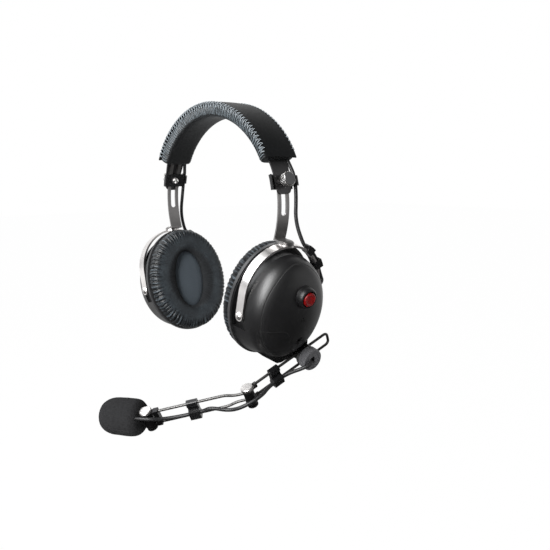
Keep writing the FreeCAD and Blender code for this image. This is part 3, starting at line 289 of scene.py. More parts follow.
def softMetal(name, colour, rough, lines, depth=0.00002):
    # Satin metal with fine rolling lines, light handling marks and a little tone
    finish = Finish(name)
    streaks = finish.noise(1.0, 4, 0.6, finish.stretched(lines))
    cloud = finish.noise(55.0, 2)
    grey = finish.blendColour(finish.spread(cloud, 0.3, 0.7), colour, scaled(colour, 0.82))
    finish.set(Base_Color=grey, Metallic=1.0, Roughness=rough + 0.14 * streaks + 0.06 * cloud)
    finish.set(Normal=finish.bump(streaks, depth, 0.5))
    return finish


strapSteel = softMetal("strap_steel_satin", tone(150, 148, 147), 0.30, (700, 60, 60), depth=0.00001)
springSteel = softMetal("spring_steel_satin", tone(84, 83, 84), 0.34, (60, 900, 60))
brightSteel = softMetal("bright_steel_polished", tone(232, 228, 226), 0.2, (60, 500, 60), depth=0.000001)
wireSteel = softMetal("wire_steel_dark", tone(96, 95, 94), 0.36, (60, 60, 60), depth=0.000001)
screwSteel = softMetal("screw_steel_bright", tone(224, 221, 219), 0.3, (200, 200, 200), depth=0.0000008)
darkSteel = softMetal("dark_steel", tone(62, 61, 62), 0.36, (300, 300, 300))
driverSteel = softMetal("driver_steel", tone(120, 120, 122), 0.4, (200, 200, 200))


knurl = {"turns": 34.0, "slant": 2600.0, "rings": 9000.0, "ringHeight": 0.06, "faceEdge": (-0.0003, -0.0001)}


def knurledSteel(name, centre, axis, face):
    # Bright rim with a slanting knurl, and a darker turned face beyond the distance given along the axis
    finish = Finish(name)
    sideways = axis.cross(backward).normalized()
    along = finish.along(axis, centre)
    across, back = finish.along(sideways, centre), finish.along(backward, centre)
    angle = across.maths("ARCTAN2", across, back)
    cut = (angle * knurl["turns"] + along * knurl["slant"]).sine()
    radius = (across * across + back * back) ** 0.5
    rings = (radius * knurl["rings"]).sine()
    outer = finish.spread(along, *(face + edge for edge in knurl["faceEdge"]))
    marks = finish.noise(900.0, 3)
    tinted = finish.blendColour(outer, tone(200, 198, 196), tone(104, 104, 105))
    finish.set(Base_Color=finish.blendColour(marks * 0.25, tinted, tone(70, 69, 68)), Metallic=1.0)
    finish.set(Roughness=0.26 + 0.1 * marks)
    height = (1.0 - outer) * finish.spread(cut, -0.4, 0.4) + outer * rings * knurl["ringHeight"]
    finish.set(Normal=finish.bump(height, 0.00022, 1.0))
    return finish


def moulded(name, colour, rough, grain=0.00003, gloss=0.5):
    # Moulded plastic: fine spark grain, faint flow tone and rubbed spots
    finish = Finish(name)
    fine = finish.noise(2600.0, 2)
    flow = finish.noise(28.0, 3)
    rubbed = finish.spread(finish.noise(90.0, 5, 0.7), 0.56, 0.7)
    lighter = scaled(colour, 1.35, 0.002)
    finish.set(Base_Color=finish.blendColour(finish.spread(flow, 0.3, 0.75), colour, lighter))
    finish.set(Roughness=rough + 0.05 * flow - 0.06 * rubbed, Specular_IOR_Level=gloss)
    finish.set(Normal=finish.bump(fine, grain, 0.6))
    return finish


flangePlastic = moulded("flange_plastic", tone(34, 34, 35), 0.36, gloss=0.45)
clipPlastic = moulded("clip_plastic", tone(16, 16, 17), 0.22, 0.00001, 0.4)
boardPlastic = moulded("board_plastic", tone(24, 60, 40), 0.5)
bezelPlastic = moulded("bezel_plastic", tone(12, 12, 13), 0.4, 0.00001, 0.35)
knobPlastic = moulded("knob_plastic", tone(66, 66, 68), 0.34)
leadRubber = moulded("lead_rubber", tone(26, 26, 27), 0.4, 0.00002, 0.35)


shell = {
    "seamLevel": 0.0211, "seamEdge": (0.00012, 0.00042), "dropFrom": 0.02, "drop": 316.0,
    "panelTop": -0.0117, "panelCorner": 0.0045, "panelEdge": (0.0001, 0.00036),
    "panelShows": (0.0195, 0.0215),
    # The panel's rear edge: a point on it, then its direction outward, each as back and up
    "rearPoint": (-0.0085, -0.0140), "rearOut": (0.883, 0.47),
}


def shellFinish(name, side):
    # Satin black shell with a fine seam round the crown and a panel seam behind the boom mount
    finish = Finish(name)
    out, up, middle = cupFrame(side)
    high, back, level = finish.along(up, middle), finish.along(backward, middle), finish.along(out, middle)
    # The crown's seam lies at one level, and drops back over the top of the cup
    over = (high - shell["dropFrom"]).most(0.0)
    fromSeam = abs(level + over * over * over * shell["drop"] - shell["seamLevel"])
    ring = 1.0 - finish.spread(fromSeam, *shell["seamEdge"])
    if side > 0:
        # The panel's seam: a level top edge and a slanting rear edge with a rounded corner
        corner = shell["panelCorner"]
        (rearBack, rearHigh), (outBack, outHigh) = shell["rearPoint"], shell["rearOut"]
        top = high - shell["panelTop"] + corner
        rear = (back - rearBack) * outBack + (high - rearHigh) * outHigh + corner
        inside = top.most(rear).least(0.0)
        topOut, rearOut = top.most(0.0), rear.most(0.0)
        edge = inside + (topOut * topOut + rearOut * rearOut) ** 0.5 - corner
        line = 1.0 - finish.spread(abs(edge), *shell["panelEdge"])
        ring = ring.most(line * finish.spread(level, *shell["panelShows"]) * 0.8)
    fine = finish.noise(2400.0, 2)
    flow = finish.noise(24.0, 3)
    base = finish.blendColour(finish.spread(flow, 0.3, 0.75), tone(12, 12, 13), tone(17, 17, 18))
    finish.set(Base_Color=finish.blendColour(ring, base, tone(2, 2, 2)))
    finish.set(Roughness=0.38 + 0.05 * flow + 0.5 * ring, Specular_IOR_Level=0.62)
    finish.set(Normal=finish.bump(fine * 0.000006 - ring * 0.00018, 1.0, 0.8))
    return finish


shellLeft = shellFinish("shell_plastic_left", 1)
shellRight = shellFinish("shell_plastic_right", -1)


def redCap():
    # Translucent red moulding, darker in its depth
    finish = Finish("red_plastic")
    cloud = finish.noise(260.0, 2)
    finish.set(Base_Color=finish.blendColour(cloud, tone(74, 2, 3), tone(116, 5, 6)))
    finish.set(Roughness=0.26 + 0.06 * cloud, Specular_IOR_Level=0.35, Coat_Weight=0.12, Coat_Roughness=0.15)
    finish.set(Subsurface_Weight=0.12, Subsurface_Radius=(0.004, 0.0006, 0.0004), Subsurface_Scale=1.0)
    finish.set(Normal=finish.bump(finish.noise(900.0, 2), 0.00002, 0.5))
    return finish


capRed = redCap()


def leather(name, grainSize, grainDepth, gloss):
    # Soft leather with a pebbled grain
    finish = Finish(name)
    pebbles = finish.cells(grainSize)
    pores = finish.noise(grainSize * 2.2, 3)
    finish.set(Specular_IOR_Level=gloss, Normal=finish.bump(pores * 0.4 - pebbles, grainDepth, 0.7))
    return finish, pebbles


def wornPatches(finish, pebbles):
    # Large cloudy patches, and from them and the pebbles how deep a spot lies
    patches = finish.noise(70.0, 4, 0.6)
    return patches, finish.spread(pebbles * 0.6 + patches * 0.6, 0.35, 0.75)


def padFinish():
    # Near black on the plain inner face and a little lighter on the pleated sides, with a painted highlight
    # on the ridges of the pleats
    finish = leather("pad_leather", 1100.0, 0.00010, 0.4)[0]
    fold = finish.own("fold")
    plain = finish.blendColour(finish.spread(fold, 0.02, 0.2), tone(13, 14, 15), tone(20, 22, 24))
    # Painted highlight, a pale blue-grey, on the ridges of the pleats
    finish.set(Base_Color=finish.blendColour(finish.spread(fold, 0.62, 0.98), plain, tone(80, 88, 93)))
    finish.set(Roughness=0.62 - 0.18 * fold)
    finish.set(Sheen_Weight=0.05, Sheen_Roughness=0.4, Sheen_Tint=tone(176, 200, 216))
    return finish


def coverFinish():
    finish, pebbles = leather("cover_leather", 1500.0, 0.00006, 0.16)
    patches, deep = wornPatches(finish, pebbles)
    finish.set(Base_Color=finish.blendColour(deep, tone(15, 16, 17), tone(10, 11, 12)))
    finish.set(Roughness=0.55 + 0.12 * patches - 0.06 * deep)
    return finish


padLeather = padFinish()
coverLeather = coverFinish()


def weave(name):
    # Plain woven cloth over foam: two crossing sets of threads
    finish = Finish(name)
    warp = (finish.along((0, 0, 1)) * 7000.0).sine()
    weft = (finish.along(backward) * 7000.0).sine()
    threads = warp * weft
    fuzz = finish.noise(1800.0, 3)
    shade = finish.blendColour(finish.spread(threads + fuzz, -0.6, 1.6), tone(44, 49, 54), tone(70, 77, 83))
    finish.set(Base_Color=shade, Roughness=0.85, Specular_IOR_Level=0.2)
    finish.set(Normal=finish.bump(threads * 0.5 + fuzz * 0.4, 0.00008, 0.7))
    return finish


baffleCloth = weave("baffle_fabric")


def foam(name):
    # Open foam: small pores of two sizes in a matt black skin
    finish = Finish(name)
    large = finish.cells(900.0)
    small = finish.cells(2100.0)
    cells = finish.spread(large, 0.05, 0.5) * 0.7 + finish.spread(small, 0.1, 0.5) * 0.3
    finish.set(Base_Color=finish.blendColour(cells, tone(10, 10, 10), tone(34, 34, 35)))
    finish.set(Roughness=0.95, Specular_IOR_Level=0.12)
    finish.set(Normal=finish.bump(cells, 0.0003, 0.8))
    return finish


blackFoam = foam("foam_black")


def stitchThread():
    finish = Finish("stitch_thread")
    twist = finish.noise(3200.0, 2)
    finish.set(Base_Color=finish.blendColour(twist, tone(96, 102, 106), tone(150, 157, 162)), Roughness=0.55)
    finish.set(Normal=finish.bump(twist, 0.00005, 0.8))
    return finish


thread = stitchThread()
print("finishes made")


# Leads: routes repeated from the part's source, one stretch between each two bodies

leadRadius = 0.0016
leads = {
    "left_lead_upper": ("headband", "left_arm", [
        (0.08696, 0.0128, -0.05874), (0.08816, 0.0128, -0.06462), (0.08776, 0.01256, -0.07865)]),
    "left_lead_middle": ("left_arm", "left_fork", [
        (0.08776, 0.01256, -0.07865), (0.0875, 0.0124, -0.088), (0.09273, 0.01644, -0.10704),
        (0.0922, 0.02037, -0.10917), (0.09144, 0.02603, -0.11224), (0.08917, 0.03491, -0.12142),
        (0.08776, 0.03771, -0.1271)]),
    "left_lead_lower": ("left_fork", "left_cup", [
        (0.08776, 0.03771, -0.1271), (0.08603, 0.04116, -0.13411), (0.08942, 0.0423, -0.14289),
        (0.08938, 0.031, -0.14597)]),
    "right_lead_upper": ("headband", "right_arm", [
        (-0.08696, 0.0128, -0.05874), (-0.08816, 0.0128, -0.06462), (-0.09136, 0.0128, -0.07925)]),
    "right_lead_middle": ("right_arm", "right_fork", [
        (-0.09136, 0.0128, -0.07925), (-0.0935, 0.0128, -0.089), (-0.09273, 0.01644, -0.10704),
        (-0.0922, 0.02037, -0.10917), (-0.09144, 0.02603, -0.11224), (-0.08917, 0.03491, -0.12142),
        (-0.08776, 0.03771, -0.1271)]),
    "right_lead_lower": ("right_fork", "right_cup", [
        (-0.08776, 0.03771, -0.1271), (-0.08603, 0.04116, -0.13411), (-0.08942, 0.0423, -0.14289),
        (-0.08938, 0.031, -0.14597)]),
    "mic_lead_rear": ("boom_pivot", "boom_rear", [
        (0.07937, 0.0241, -0.20222), (0.09898, 0.0241, -0.20707), (0.09809, 0.01423, -0.21065),
        (0.08479, 0.00424, -0.21738), (0.08384, -0.00408, -0.22121)]),
    "mic_lead_middle": ("boom_rear", "boom_front", [
        (0.08384, -0.00408, -0.22121), (0.08283, -0.01293, -0.22529), (0.08725, -0.02382, -0.22989),
        (0.08144, -0.03815, -0.23775), (0.06984, -0.04448, -0.24293), (0.05864, -0.05603, -0.24061),
        (0.05269, -0.05919, -0.24463), (0.04779, -0.06428, -0.24646)]),
    "mic_lead_front": ("boom_front", "microphone", [
        (0.04779, -0.06428, -0.24646), (0.04021, -0.07216, -0.24929), (0.03121, -0.0845, -0.25151),
        (0.02632, -0.09835, -0.25026), (0.01374, -0.10547, -0.25069)]),
}


def drawTube(name, route, radius, kind, facets):
    curve = bpy.data.curves.new(name, "CURVE")
    curve.dimensions = "3D"
    curve.resolution_u = 14
    curve.bevel_depth = radius
    curve.bevel_resolution = facets
    curve.use_fill_caps = True
    spline = curve.splines.new(kind)
    spline.points.add(len(route) - 1)
    for point, place in zip(spline.points, route):
        point.co = (*place, 1.0)
    if kind == "NURBS":
        spline.order_u = 3
        spline.use_endpoint_u = True
    pick(show(name, curve))
    bpy.ops.object.convert(target="MESH")
    return bpy.context.object


def layTube(node, route):
    piece = drawTube(node + "_rubber", route, leadRadius, "NURBS", 5)
    smooth(piece, 40)
    dress(piece, leadRubber)
    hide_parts(node)
    return piece


for node, (first, second, route) in leads.items():
    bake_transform(layTube(node, route))
print("leads laid")


# Skins and cushions

def skin(name, rows, wrapRows=False, capEnds=False):
    # A mesh from rows of points, each row closed on itself
    count, width = len(rows), len(rows[0])
    points = [point for row in rows for point in row]
    faces = []
    for i in range(count if wrapRows else count - 1):
        j = (i + 1) % count
        for k in range(width):
            m = (k + 1) % width
            faces.append((i * width + k, i * width + m, j * width + m, j * width + k))
    if capEnds:
        faces.append(tuple(reversed(range(width))))
        faces.append(tuple((count - 1) * width + k for k in range(width)))
    data = bpy.data.meshes.new(name)
    data.from_pydata(points, [], faces)
    piece = show(name, data)
    pick(piece)
    bpy.ops.object.mode_set(mode="EDIT")
    bpy.ops.mesh.select_all(action="SELECT")
    bpy.ops.mesh.normals_make_consistent(inside=False)
    bpy.ops.object.mode_set(mode="OBJECT")
    return piece


filling = {"stretch": 40, "bend": 4, "frames": 20}


def inflate(piece, held, pressure, limit):
    # Blows the piece up as a filled cover; held is how firmly each point is kept, limit how far it moves
    group = piece.vertex_groups.new(name="held")
    for index, weight in enumerate(held):
        if weight > 0:
            group.add([index], weight, "REPLACE")
    before = [vertex.co.copy() for vertex in piece.data.vertices]
    cloth = piece.modifiers.new("filling", "CLOTH")
    cloth.settings.vertex_group_mass = "held"
    cloth.settings.use_pressure = True
    cloth.settings.uniform_pressure_force = pressure
    cloth.settings.effector_weights.gravity = 0
    cloth.settings.tension_stiffness = filling["stretch"]
    cloth.settings.compression_stiffness = filling["stretch"]
    cloth.settings.bending_stiffness = filling["bend"]
    cloth.collision_settings.use_collision = False
    cloth.collision_settings.use_self_collision = False
    scene = bpy.context.scene
    for step in range(filling["frames"]):
        scene.frame_set(step + 1)
    settled = piece.evaluated_get(bpy.context.evaluated_depsgraph_get()).data
    after = [vertex.co.copy() for vertex in settled.vertices]
    piece.modifiers.remove(cloth)
    scene.frame_set(1)
    for vertex, start, end in zip(piece.data.vertices, before, after):
        move = end - start
        if move.length > limit:
            move *= limit / move.length
        vertex.co = start + move
    piece.vertex_groups.remove(group)


def refine(piece, levels):
    modifier = piece.modifiers.new("finer", "SUBSURF")
    modifier.levels = levels
    modifier.render_levels = levels
    applyModifiers(piece)


def carry(piece, name, values):
    attribute = piece.data.attributes.new(name, "FLOAT", "POINT")
    attribute.data.foreach_set("value", values)


def pointsWithNormals(piece):
    # The normals are those of the shape as it is now, whatever is moved while they are read
    return list(zip(piece.data.vertices, [vertex.normal.copy() for vertex in piece.data.vertices]))


# Ear cushions

cushion = {
    "halfHeight": 0.0490, "narrowing": 0.84,
    "openingHalfHeight": 0.0272, "openingNarrowing": 0.56,
    "around": 180, "pressure": 5.0, "swell": 0.0013,
    # Folds: their depth and number, how fine the creases between them are, and the level they reach to
    "wrinkle": 0.0012, "folds": 76, "creases": 24.0, "plain": 0.75, "wrinkleTo": -0.0124,
    # Where folds begin on the outer side, how far that edge wanders, and over what distance they grow
    "foldsFrom": 0.0385, "wander": 0.0025, "foldsGrow": 0.0065,
    # The same for the wall of the opening, then how strong they are there
    "wallFolds": (0.0325, 0.004, 0.3),
    # Distance from the middle where the opening's wall ends, and where the outer side starts; the finish
    # paints shade in the opening and on the outer side from these
    "openingEdge": (0.0265, 0.0325), "sideEdge": (0.0400, 0.0465),
    # Round the ring's section: share of the way out, then level out of the cup
    "section": [
        (0.00, -0.0180), (0.00, -0.0192), (0.015, -0.0205), (0.055, -0.0218), (0.12, -0.0229),
        (0.21, -0.0238), (0.32, -0.0244), (0.45, -0.0248), (0.58, -0.0249), (0.70, -0.0246),
        (0.80, -0.0239), (0.88, -0.0228), (0.945, -0.0212), (0.985, -0.0193), (1.00, -0.0173),
        (0.998, -0.0154), (0.985, -0.0137), (0.955, -0.0125), (0.92, -0.01205), (0.70, -0.01205),
        (0.45, -0.01205), (0.32, -0.0126), (0.20, -0.0150), (0.08, -0.0172),
    ],
    "heldFrom": 17,
}


def cushionFinish(name, side):
    # Painted shade in the creases of the folds and a painted highlight on their ridges, and painted shade in
    # the opening and on the outer side, stronger on the left cushion
    # The left cushion is less glossy and takes a stronger painted shade on its outer side
    gloss, outerShade = (0.14, 0.8) if side > 0 else (0.3, 0.6)
    finish, pebbles = leather(name, 1300.0, 0.00012, gloss)
    up, middle = cupFrame(side)[1:]
    high = finish.along(up, middle)
    back = finish.along(backward, middle) * (1 / cushion["narrowing"])
    radius = (high * high + back * back) ** 0.5
    # Masks for the painted shade in the opening and on the outer side; the opening's mask also roughens the
    # leather there
    inside = 1.0 - finish.spread(radius, *cushion["openingEdge"])
    outer = finish.spread(radius, *cushion["sideEdge"])
    fold = finish.own("fold")
    plain = finish.blendColour(wornPatches(finish, pebbles)[1], tone(54, 60, 64), tone(30, 33, 36))
    # Painted shade: the opening and the outer side are darkened toward near black
    deep = finish.blendColour((inside * 0.8).most(outer * outerShade), plain, tone(12, 13, 15))
    # Painted shade in the creases between the folds
    creaseShaded = finish.blendColour(finish.spread(fold, 0.7, 1.05, 0.95, 0.0), deep, tone(4, 5, 6))
    # Painted highlight, a pale blue-grey, on the ridges of the folds
    ridges = finish.spread(fold, 1.1, 1.25) * 0.7
    finish.set(Base_Color=finish.blendColour(ridges, creaseShaded, tone(74, 82, 88)))
    finish.set(Roughness=0.4 + 0.45 * inside)
    return finish


cushionLeft = cushionFinish("cushion_leather_left", 1)
cushionRight = cushionFinish("cushion_leather_right", -1)


def cushionPoint(side, turn, share, level):
    high = cushion["openingHalfHeight"] + share * (cushion["halfHeight"] - cushion["openingHalfHeight"])
    outerHalf = cushion["halfHeight"] * cushion["narrowing"]
    innerHalf = cushion["openingHalfHeight"] * cushion["openingNarrowing"]
    wide = innerHalf + share * (outerHalf - innerHalf)
    return cupPoint(side, level, wide * math.sin(turn), high * math.cos(turn))


def roundRing(turn, size, across):
    # A place in the noise that comes back to itself once round the ring
    return Vector((size * math.cos(turn), size * math.sin(turn), across))


def wrinkleHeight(turn, across, seed):
    # Folds that run across the side, swaying unevenly round the ring, with finer creases on them
    sway = noise.noise(roundRing(turn, 5, across * 0.6 + seed))
    pleat = abs(math.sin(0.5 * cushion["folds"] * turn + 3.2 * sway))
    fine = abs(noise.noise(roundRing(turn, cushion["creases"], across * 0.7 + seed) * 1.9)) * 3.0
    return pleat ** 0.6 * 0.7 + min(1.0, fine) * 0.3


def earCushion(side):
    name = sideName(side) + "_ear_cushion"
    section = cushion["section"]
    turns = [2 * math.pi * i / cushion["around"] for i in range(cushion["around"])]
    rows = [[cushionPoint(side, turn, share, level) for share, level in section] for turn in turns]
    piece = skin(name + "_leather", rows, wrapRows=True)
    ring = [1.0 if k >= cushion["heldFrom"] or k == 0 else 0.0 for k in range(len(section))]
    inflate(piece, ring * len(turns), cushion["pressure"], cushion["swell"])
    refine(piece, 2)
    # Folds are strongest on the outer side and faint on the wall of the opening
    folds = [1.0] * len(piece.data.vertices)
    out, up, middle = cupFrame(side)
    wallEdge, wallGrow, wallShare = cushion["wallFolds"]
    for vertex, normal in pointsWithNormals(piece):
        local = vertex.co - middle
        level, high, wide = local.dot(out), local.dot(up), local.y / cushion["narrowing"]
        turn, radius = math.atan2(wide, high), math.hypot(high, wide)
        reach = cushion["foldsFrom"] + cushion["wander"] * noise.noise(roundRing(turn, 7, side))
        onWall = portion(wallEdge - radius, wallGrow) * wallShare
        amount = max(portion(radius - reach, cushion["foldsGrow"]), onWall)
        if amount > 0 and level < cushion["wrinkleTo"]:
            height = amount * (wrinkleHeight(turn, (level + 0.0245) * 60, 3.0 * side) - cushion["plain"])
            vertex.co += normal * cushion["wrinkle"] * height
            folds[vertex.index] = 1 + height
    # The fold height also goes to the finish, which paints shade in the creases and a highlight on the ridges
    carry(piece, "fold", folds)
    smooth(piece)
    dress(piece, cushionLeft if side > 0 else cushionRight)
    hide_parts(name)
    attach(piece, name.split("_")[0] + "_cup")


baffle = {
    "halfHeight": 0.0292, "halfWidth": 0.0172, "edgeLevel": -0.0162, "faceLevel": -0.0180,
    "rings": 12, "around": 72, "crown": 2.6,
    # The back and the turned-down edge: share of the way out, then level out of the cup
    "edge": [(0.02, -0.0117), (0.98, -0.0117), (1.0, -0.0125), (1.0, -0.0150), (0.99, -0.0163)],
}


def baffleDisc(side):
    # Cloth pulled over foam: a shallow crown that turns down at the edge
    name = sideName(side) + "_baffle_cloth"
    profile = list(baffle["edge"])
    for step in range(baffle["rings"] + 1):
        share = 0.97 * (1 - step / baffle["rings"]) + 0.005
        rise = math.sqrt(max(0.0, 1 - share ** baffle["crown"]))
        profile.append((share, baffle["edgeLevel"] + (baffle["faceLevel"] - baffle["edgeLevel"]) * rise))
    rows = []
    for share, level in profile:
        wide, high = baffle["halfWidth"] * share, baffle["halfHeight"] * share
        turns = [2 * math.pi * i / baffle["around"] for i in range(baffle["around"])]
        rows.append([cupPoint(side, level, wide * math.sin(turn), high * math.cos(turn)) for turn in turns])
    piece = skin(name + "_disc", rows, capEnds=True)
    refine(piece, 1)
    smooth(piece)
    dress(piece, baffleCloth)
    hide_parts(name)
    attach(piece, name.split("_")[0] + "_cup")


for side in (1, -1):
    earCushion(side)
    baffleDisc(side)
print("ear cushions made")


# Headband pad, the cover over it and its laced edge

band = {
    "crownRadius": 0.09475, "crownCentre": -0.08775, "join": math.radians(41.1121),
    "sideRadius": 0.0765, "sideAcross": 0.012, "sideCentre": -0.074,
    "padEnd": math.radians(62.0),
}
joinRun = band["crownRadius"] * band["join"]
endRun = joinRun + band["sideRadius"] * (band["padEnd"] - band["join"])


def bandPoint(run, across, level):
    # run goes along the band from its crown, across toward the back, and level outward from the band's middle
    way = 1 if run >= 0 else -1
    if abs(run) <= joinRun:
        turn, radius = abs(run) / band["crownRadius"], band["crownRadius"]
        middle = (0.0, band["crownCentre"])
    else:
        turn = band["join"] + (abs(run) - joinRun) / band["sideRadius"]
        radius, middle = band["sideRadius"], (band["sideAcross"], band["sideCentre"])
    out = middle[0] + (radius + level) * math.sin(turn)
    return Vector((way * out, across, middle[1] + (radius + level) * math.cos(turn)))


def bandPlace(point):
    # The run and the level of a point
    wide, high = abs(point.x), point.z - band["crownCentre"]
    if math.atan2(wide, high) <= band["join"]:
        run = math.atan2(wide, high) * band["crownRadius"]
        level = math.hypot(wide, high) - band["crownRadius"]
    else:
        wide, high = wide - band["sideAcross"], point.z - band["sideCentre"]
        run = joinRun + (math.atan2(wide, high) - band["join"]) * band["sideRadius"]
        level = math.hypot(wide, high) - band["sideRadius"]
    return run if point.x >= 0 else -run, level


crossing = {
    "across": 0.0128, "drawnIn": 0.0021, "to": math.radians(79.2), "steps": 60,
    # Distance past the pad's end where it starts to draw in, and the length over which it does
    "easing": (0.001, 0.0105),
}


def crossoverLead():
    # Round the whole band inside the pad, drawn in to the band's edge where it comes out of the pad
    route = []
    last = joinRun + band["sideRadius"] * (crossing["to"] - band["join"])
    start, length = crossing["easing"]
    for step in range(-crossing["steps"], crossing["steps"] + 1):
        run = last * step / crossing["steps"]
        beyond = portion(abs(run) - endRun - start, length)
        route.append(bandPoint(run, crossing["across"] - crossing["drawnIn"] * (1 - beyond), 0.0))
    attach(layTube("crossover_lead", route), "headband")


crossoverLead()

pad = {
    "lengthways": 200, "pressure": 4.0, "swell": 0.0009, "heldAbove": 0.0039,
    # The rounded end: its length, how far the section draws in there, and the level it draws in to
    "endRound": 0.0045, "endShrink": 0.34, "core": -0.0004,
    # Pleats: depth and spacing, the level they hang from and how far they stop before the end
    "pleat": 0.0009, "pleatSpacing": 0.0024, "pleatTop": 0.0042, "plainEnd": 0.0015,
    # Where they begin across and in level, each with the distance over which they grow
    "pleatAcross": (0.0122, 0.0020), "pleatLevel": (-0.0062, 0.0022),
    # Half of the section, from the middle of the inner face to the middle of the top: across, then level
    "section": [
        (0.0, -0.0069), (0.0050, -0.0069), (0.0098, -0.0067), (0.0124, -0.0061), (0.0138, -0.0050),
        (0.0147, -0.0034), (0.0152, -0.0017), (0.0155, 0.0000), (0.0156, 0.0016), (0.0153, 0.0030),
        (0.0147, 0.0040), (0.0136, 0.0045), (0.0110, 0.0046), (0.0060, 0.0046), (0.0, 0.0046),
    ],
}


def wholeSection(half):
    return half + [(-across, level) for across, level in reversed(half[1:-1])]


def headbandPad():
    section = wholeSection(pad["section"])
    last = pad["lengthways"]
    rows, held = [], []
    for i in range(last + 1):
        run = endRun * (2 * i / last - 1)
        # Toward each end the section draws in, so that the end is rounded over
        near = max(0.0, abs(run) - (endRun - pad["endRound"])) / pad["endRound"]
        shrink = 1 - pad["endShrink"] * (1 - math.sqrt(max(0.0, 1 - near * near)))
        narrow = 0.6 + 0.4 * shrink
        rows.append([bandPoint(run, across * narrow, pad["core"] + (level - pad["core"]) * shrink)
                     for across, level in section])
        ends = i in (0, 1, last - 1, last)
        held += [1.0 if level > pad["heldAbove"] or ends else 0.0 for across, level in section]
    piece = skin("headband_pad", rows, capEnds=True)
    inflate(piece, held, pad["pressure"], pad["swell"])
    refine(piece, 2)
    folds = [0.0] * len(piece.data.vertices)
    (acrossFrom, acrossOver), (levelFrom, levelOver) = pad["pleatAcross"], pad["pleatLevel"]
    for vertex, normal in pointsWithNormals(piece):
        run, level = bandPlace(vertex.co)
        edge = 1 if vertex.co.y > 0 else -1
        if abs(run) > endRun - pad["plainEnd"] or level > pad["pleatTop"]:
            continue
        # Pleats run down the side from the laced edge and stop at the plain inner face
        fade = portion(abs(vertex.co.y) - acrossFrom, acrossOver) * portion(level - levelFrom, levelOver)
        sway = noise.noise(Vector((run * 120, level * 90, 5.0 * edge)))
        pleat = abs(math.sin(math.pi * run / pad["pleatSpacing"] + 1.6 * sway))
        fine = noise.noise(Vector((run * 800, level * 160, 9.0 * edge)))
        vertex.co += normal * pad["pleat"] * fade * (pleat - 0.8 + 0.25 * fine)
        folds[vertex.index] = fade * (0.3 + 0.7 * portion(pleat * 0.9 + 0.4 * fine, 1.0))
    # The pleat heights also go to the finish, which paints a highlight on their ridges
    carry(piece, "fold", folds)
    smooth(piece)
    dress(piece, padLeather)
    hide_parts("headband_cushion")
    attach(piece, "headband")


headbandPad()

cover = {
    "lengthways": 150, "past": 0.0004, "edgeRound": 0.0005, "edgeAngle": math.radians(60),
    # Half of the section, from the middle underneath round the edge to the middle of the top
    "section": [
        (0.0, 0.0050), (0.0080, 0.0050), (0.0138, 0.0049), (0.0152, 0.0046), (0.0159, 0.0045),
        (0.0163, 0.0050), (0.0162, 0.0057), (0.0154, 0.0061), (0.0135, 0.0063), (0.0100, 0.0065),
        (0.0060, 0.00675), (0.0, 0.0068),
    ],
}


def headbandCover():
    section = wholeSection(cover["section"])
    rows = []
    for i in range(cover["lengthways"] + 1):
        run = (endRun + cover["past"]) * (2 * i / cover["lengthways"] - 1)
        rows.append([bandPoint(run, across, level) for across, level in section])
    piece = skin("headband_cover_leather", rows, capEnds=True)
    bevel = piece.modifiers.new("edge", "BEVEL")
    bevel.width = cover["edgeRound"]
    bevel.segments = 3
    bevel.limit_method = "ANGLE"
    bevel.angle_limit = cover["edgeAngle"]
    applyModifiers(piece)
    smooth(piece, 50)
    dress(piece, coverLeather)
    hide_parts("headband_cover")
    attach(piece, "headband")


headbandCover()

stitch = {
    "spacing": 0.0037, "radius": 0.00027, "fromEnd": 0.003,
    # One stitch: share of the spacing, across, level
    "path": [
        (0.00, 0.0142, 0.0066), (0.14, 0.0160, 0.0063), (0.24, 0.0168, 0.0055), (0.34, 0.0167, 0.0040),
        (0.50, 0.0160, 0.0014), (0.66, 0.0167, 0.0040), (0.76, 0.0168, 0.0055), (0.86, 0.0160, 0.0063),
    ],
}


def edgeLace(side):
    # One lace that passes to and fro over the cover's edge along the whole band
    last = endRun - stitch["fromEnd"]
    places = []
    for i in range(int(2 * last / stitch["spacing"])):
        run = i * stitch["spacing"] - last
        for share, across, level in stitch["path"]:
            places.append(bandPoint(run + share * stitch["spacing"], side * across, level))
    name = ("back" if side > 0 else "front") + "_edge_lace"
    piece = drawTube(name, places, stitch["radius"], "POLY", 1)
    smooth(piece)
    dress(piece, thread)
    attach(piece, "headband")


for side in (1, -1):
    edgeLace(side)
print("headband padded")


# Windscreen

screen = {
    "start": (0.01886, -0.09203, -0.25294), "axis": (-0.87458, -0.48185, -0.05415),
    "across": (0.45678, -0.78126, -0.42541), "up": (0.16269, -0.39679, 0.90338),
    "from": 0.0061, "around": 64,
    # Unevenness of the foam: how fine and how high
    "lumps": [(120, 0.0002), (600, 0.0001)],
    # Along the barrel, then its radius
    "profile": [
        (0.0000, 0.0020), (0.0000, 0.0060), (0.0001, 0.0092), (0.0007, 0.0115), (0.0019, 0.0135),
        (0.0036, 0.0149), (0.0058, 0.0157), (0.0090, 0.0160), (0.0140, 0.0161), (0.0200, 0.0160),
        (0.0250, 0.0159), (0.0295, 0.0154), (0.0332, 0.0142), (0.0360, 0.0124), (0.0378, 0.0099),
        (0.0387, 0.0067), (0.0389, 0.0030),
    ],
}


def windscreen():
    start, axis, across, up = (Vector(screen[key]) for key in ("start", "axis", "across", "up"))
    turns = [2 * math.pi * i / screen["around"] for i in range(screen["around"])]
    rows = []
    for length, radius in screen["profile"]:
        middle = start + axis * (screen["from"] + length)
        rows.append([middle + (across * math.cos(turn) + up * math.sin(turn)) * radius for turn in turns])
    piece = skin("windscreen_foam", rows, capEnds=True)
    refine(piece, 1)
    for vertex, normal in pointsWithNormals(piece):
        vertex.co += normal * sum(noise.noise(vertex.co * fine) * height for fine, height in screen["lumps"])
    smooth(piece)
    dress(piece, blackFoam)
    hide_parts("windscreen")
    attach(piece, "microphone")


windscreen()
print("windscreen made")


# Push button: turned pieces on the cup's own direction

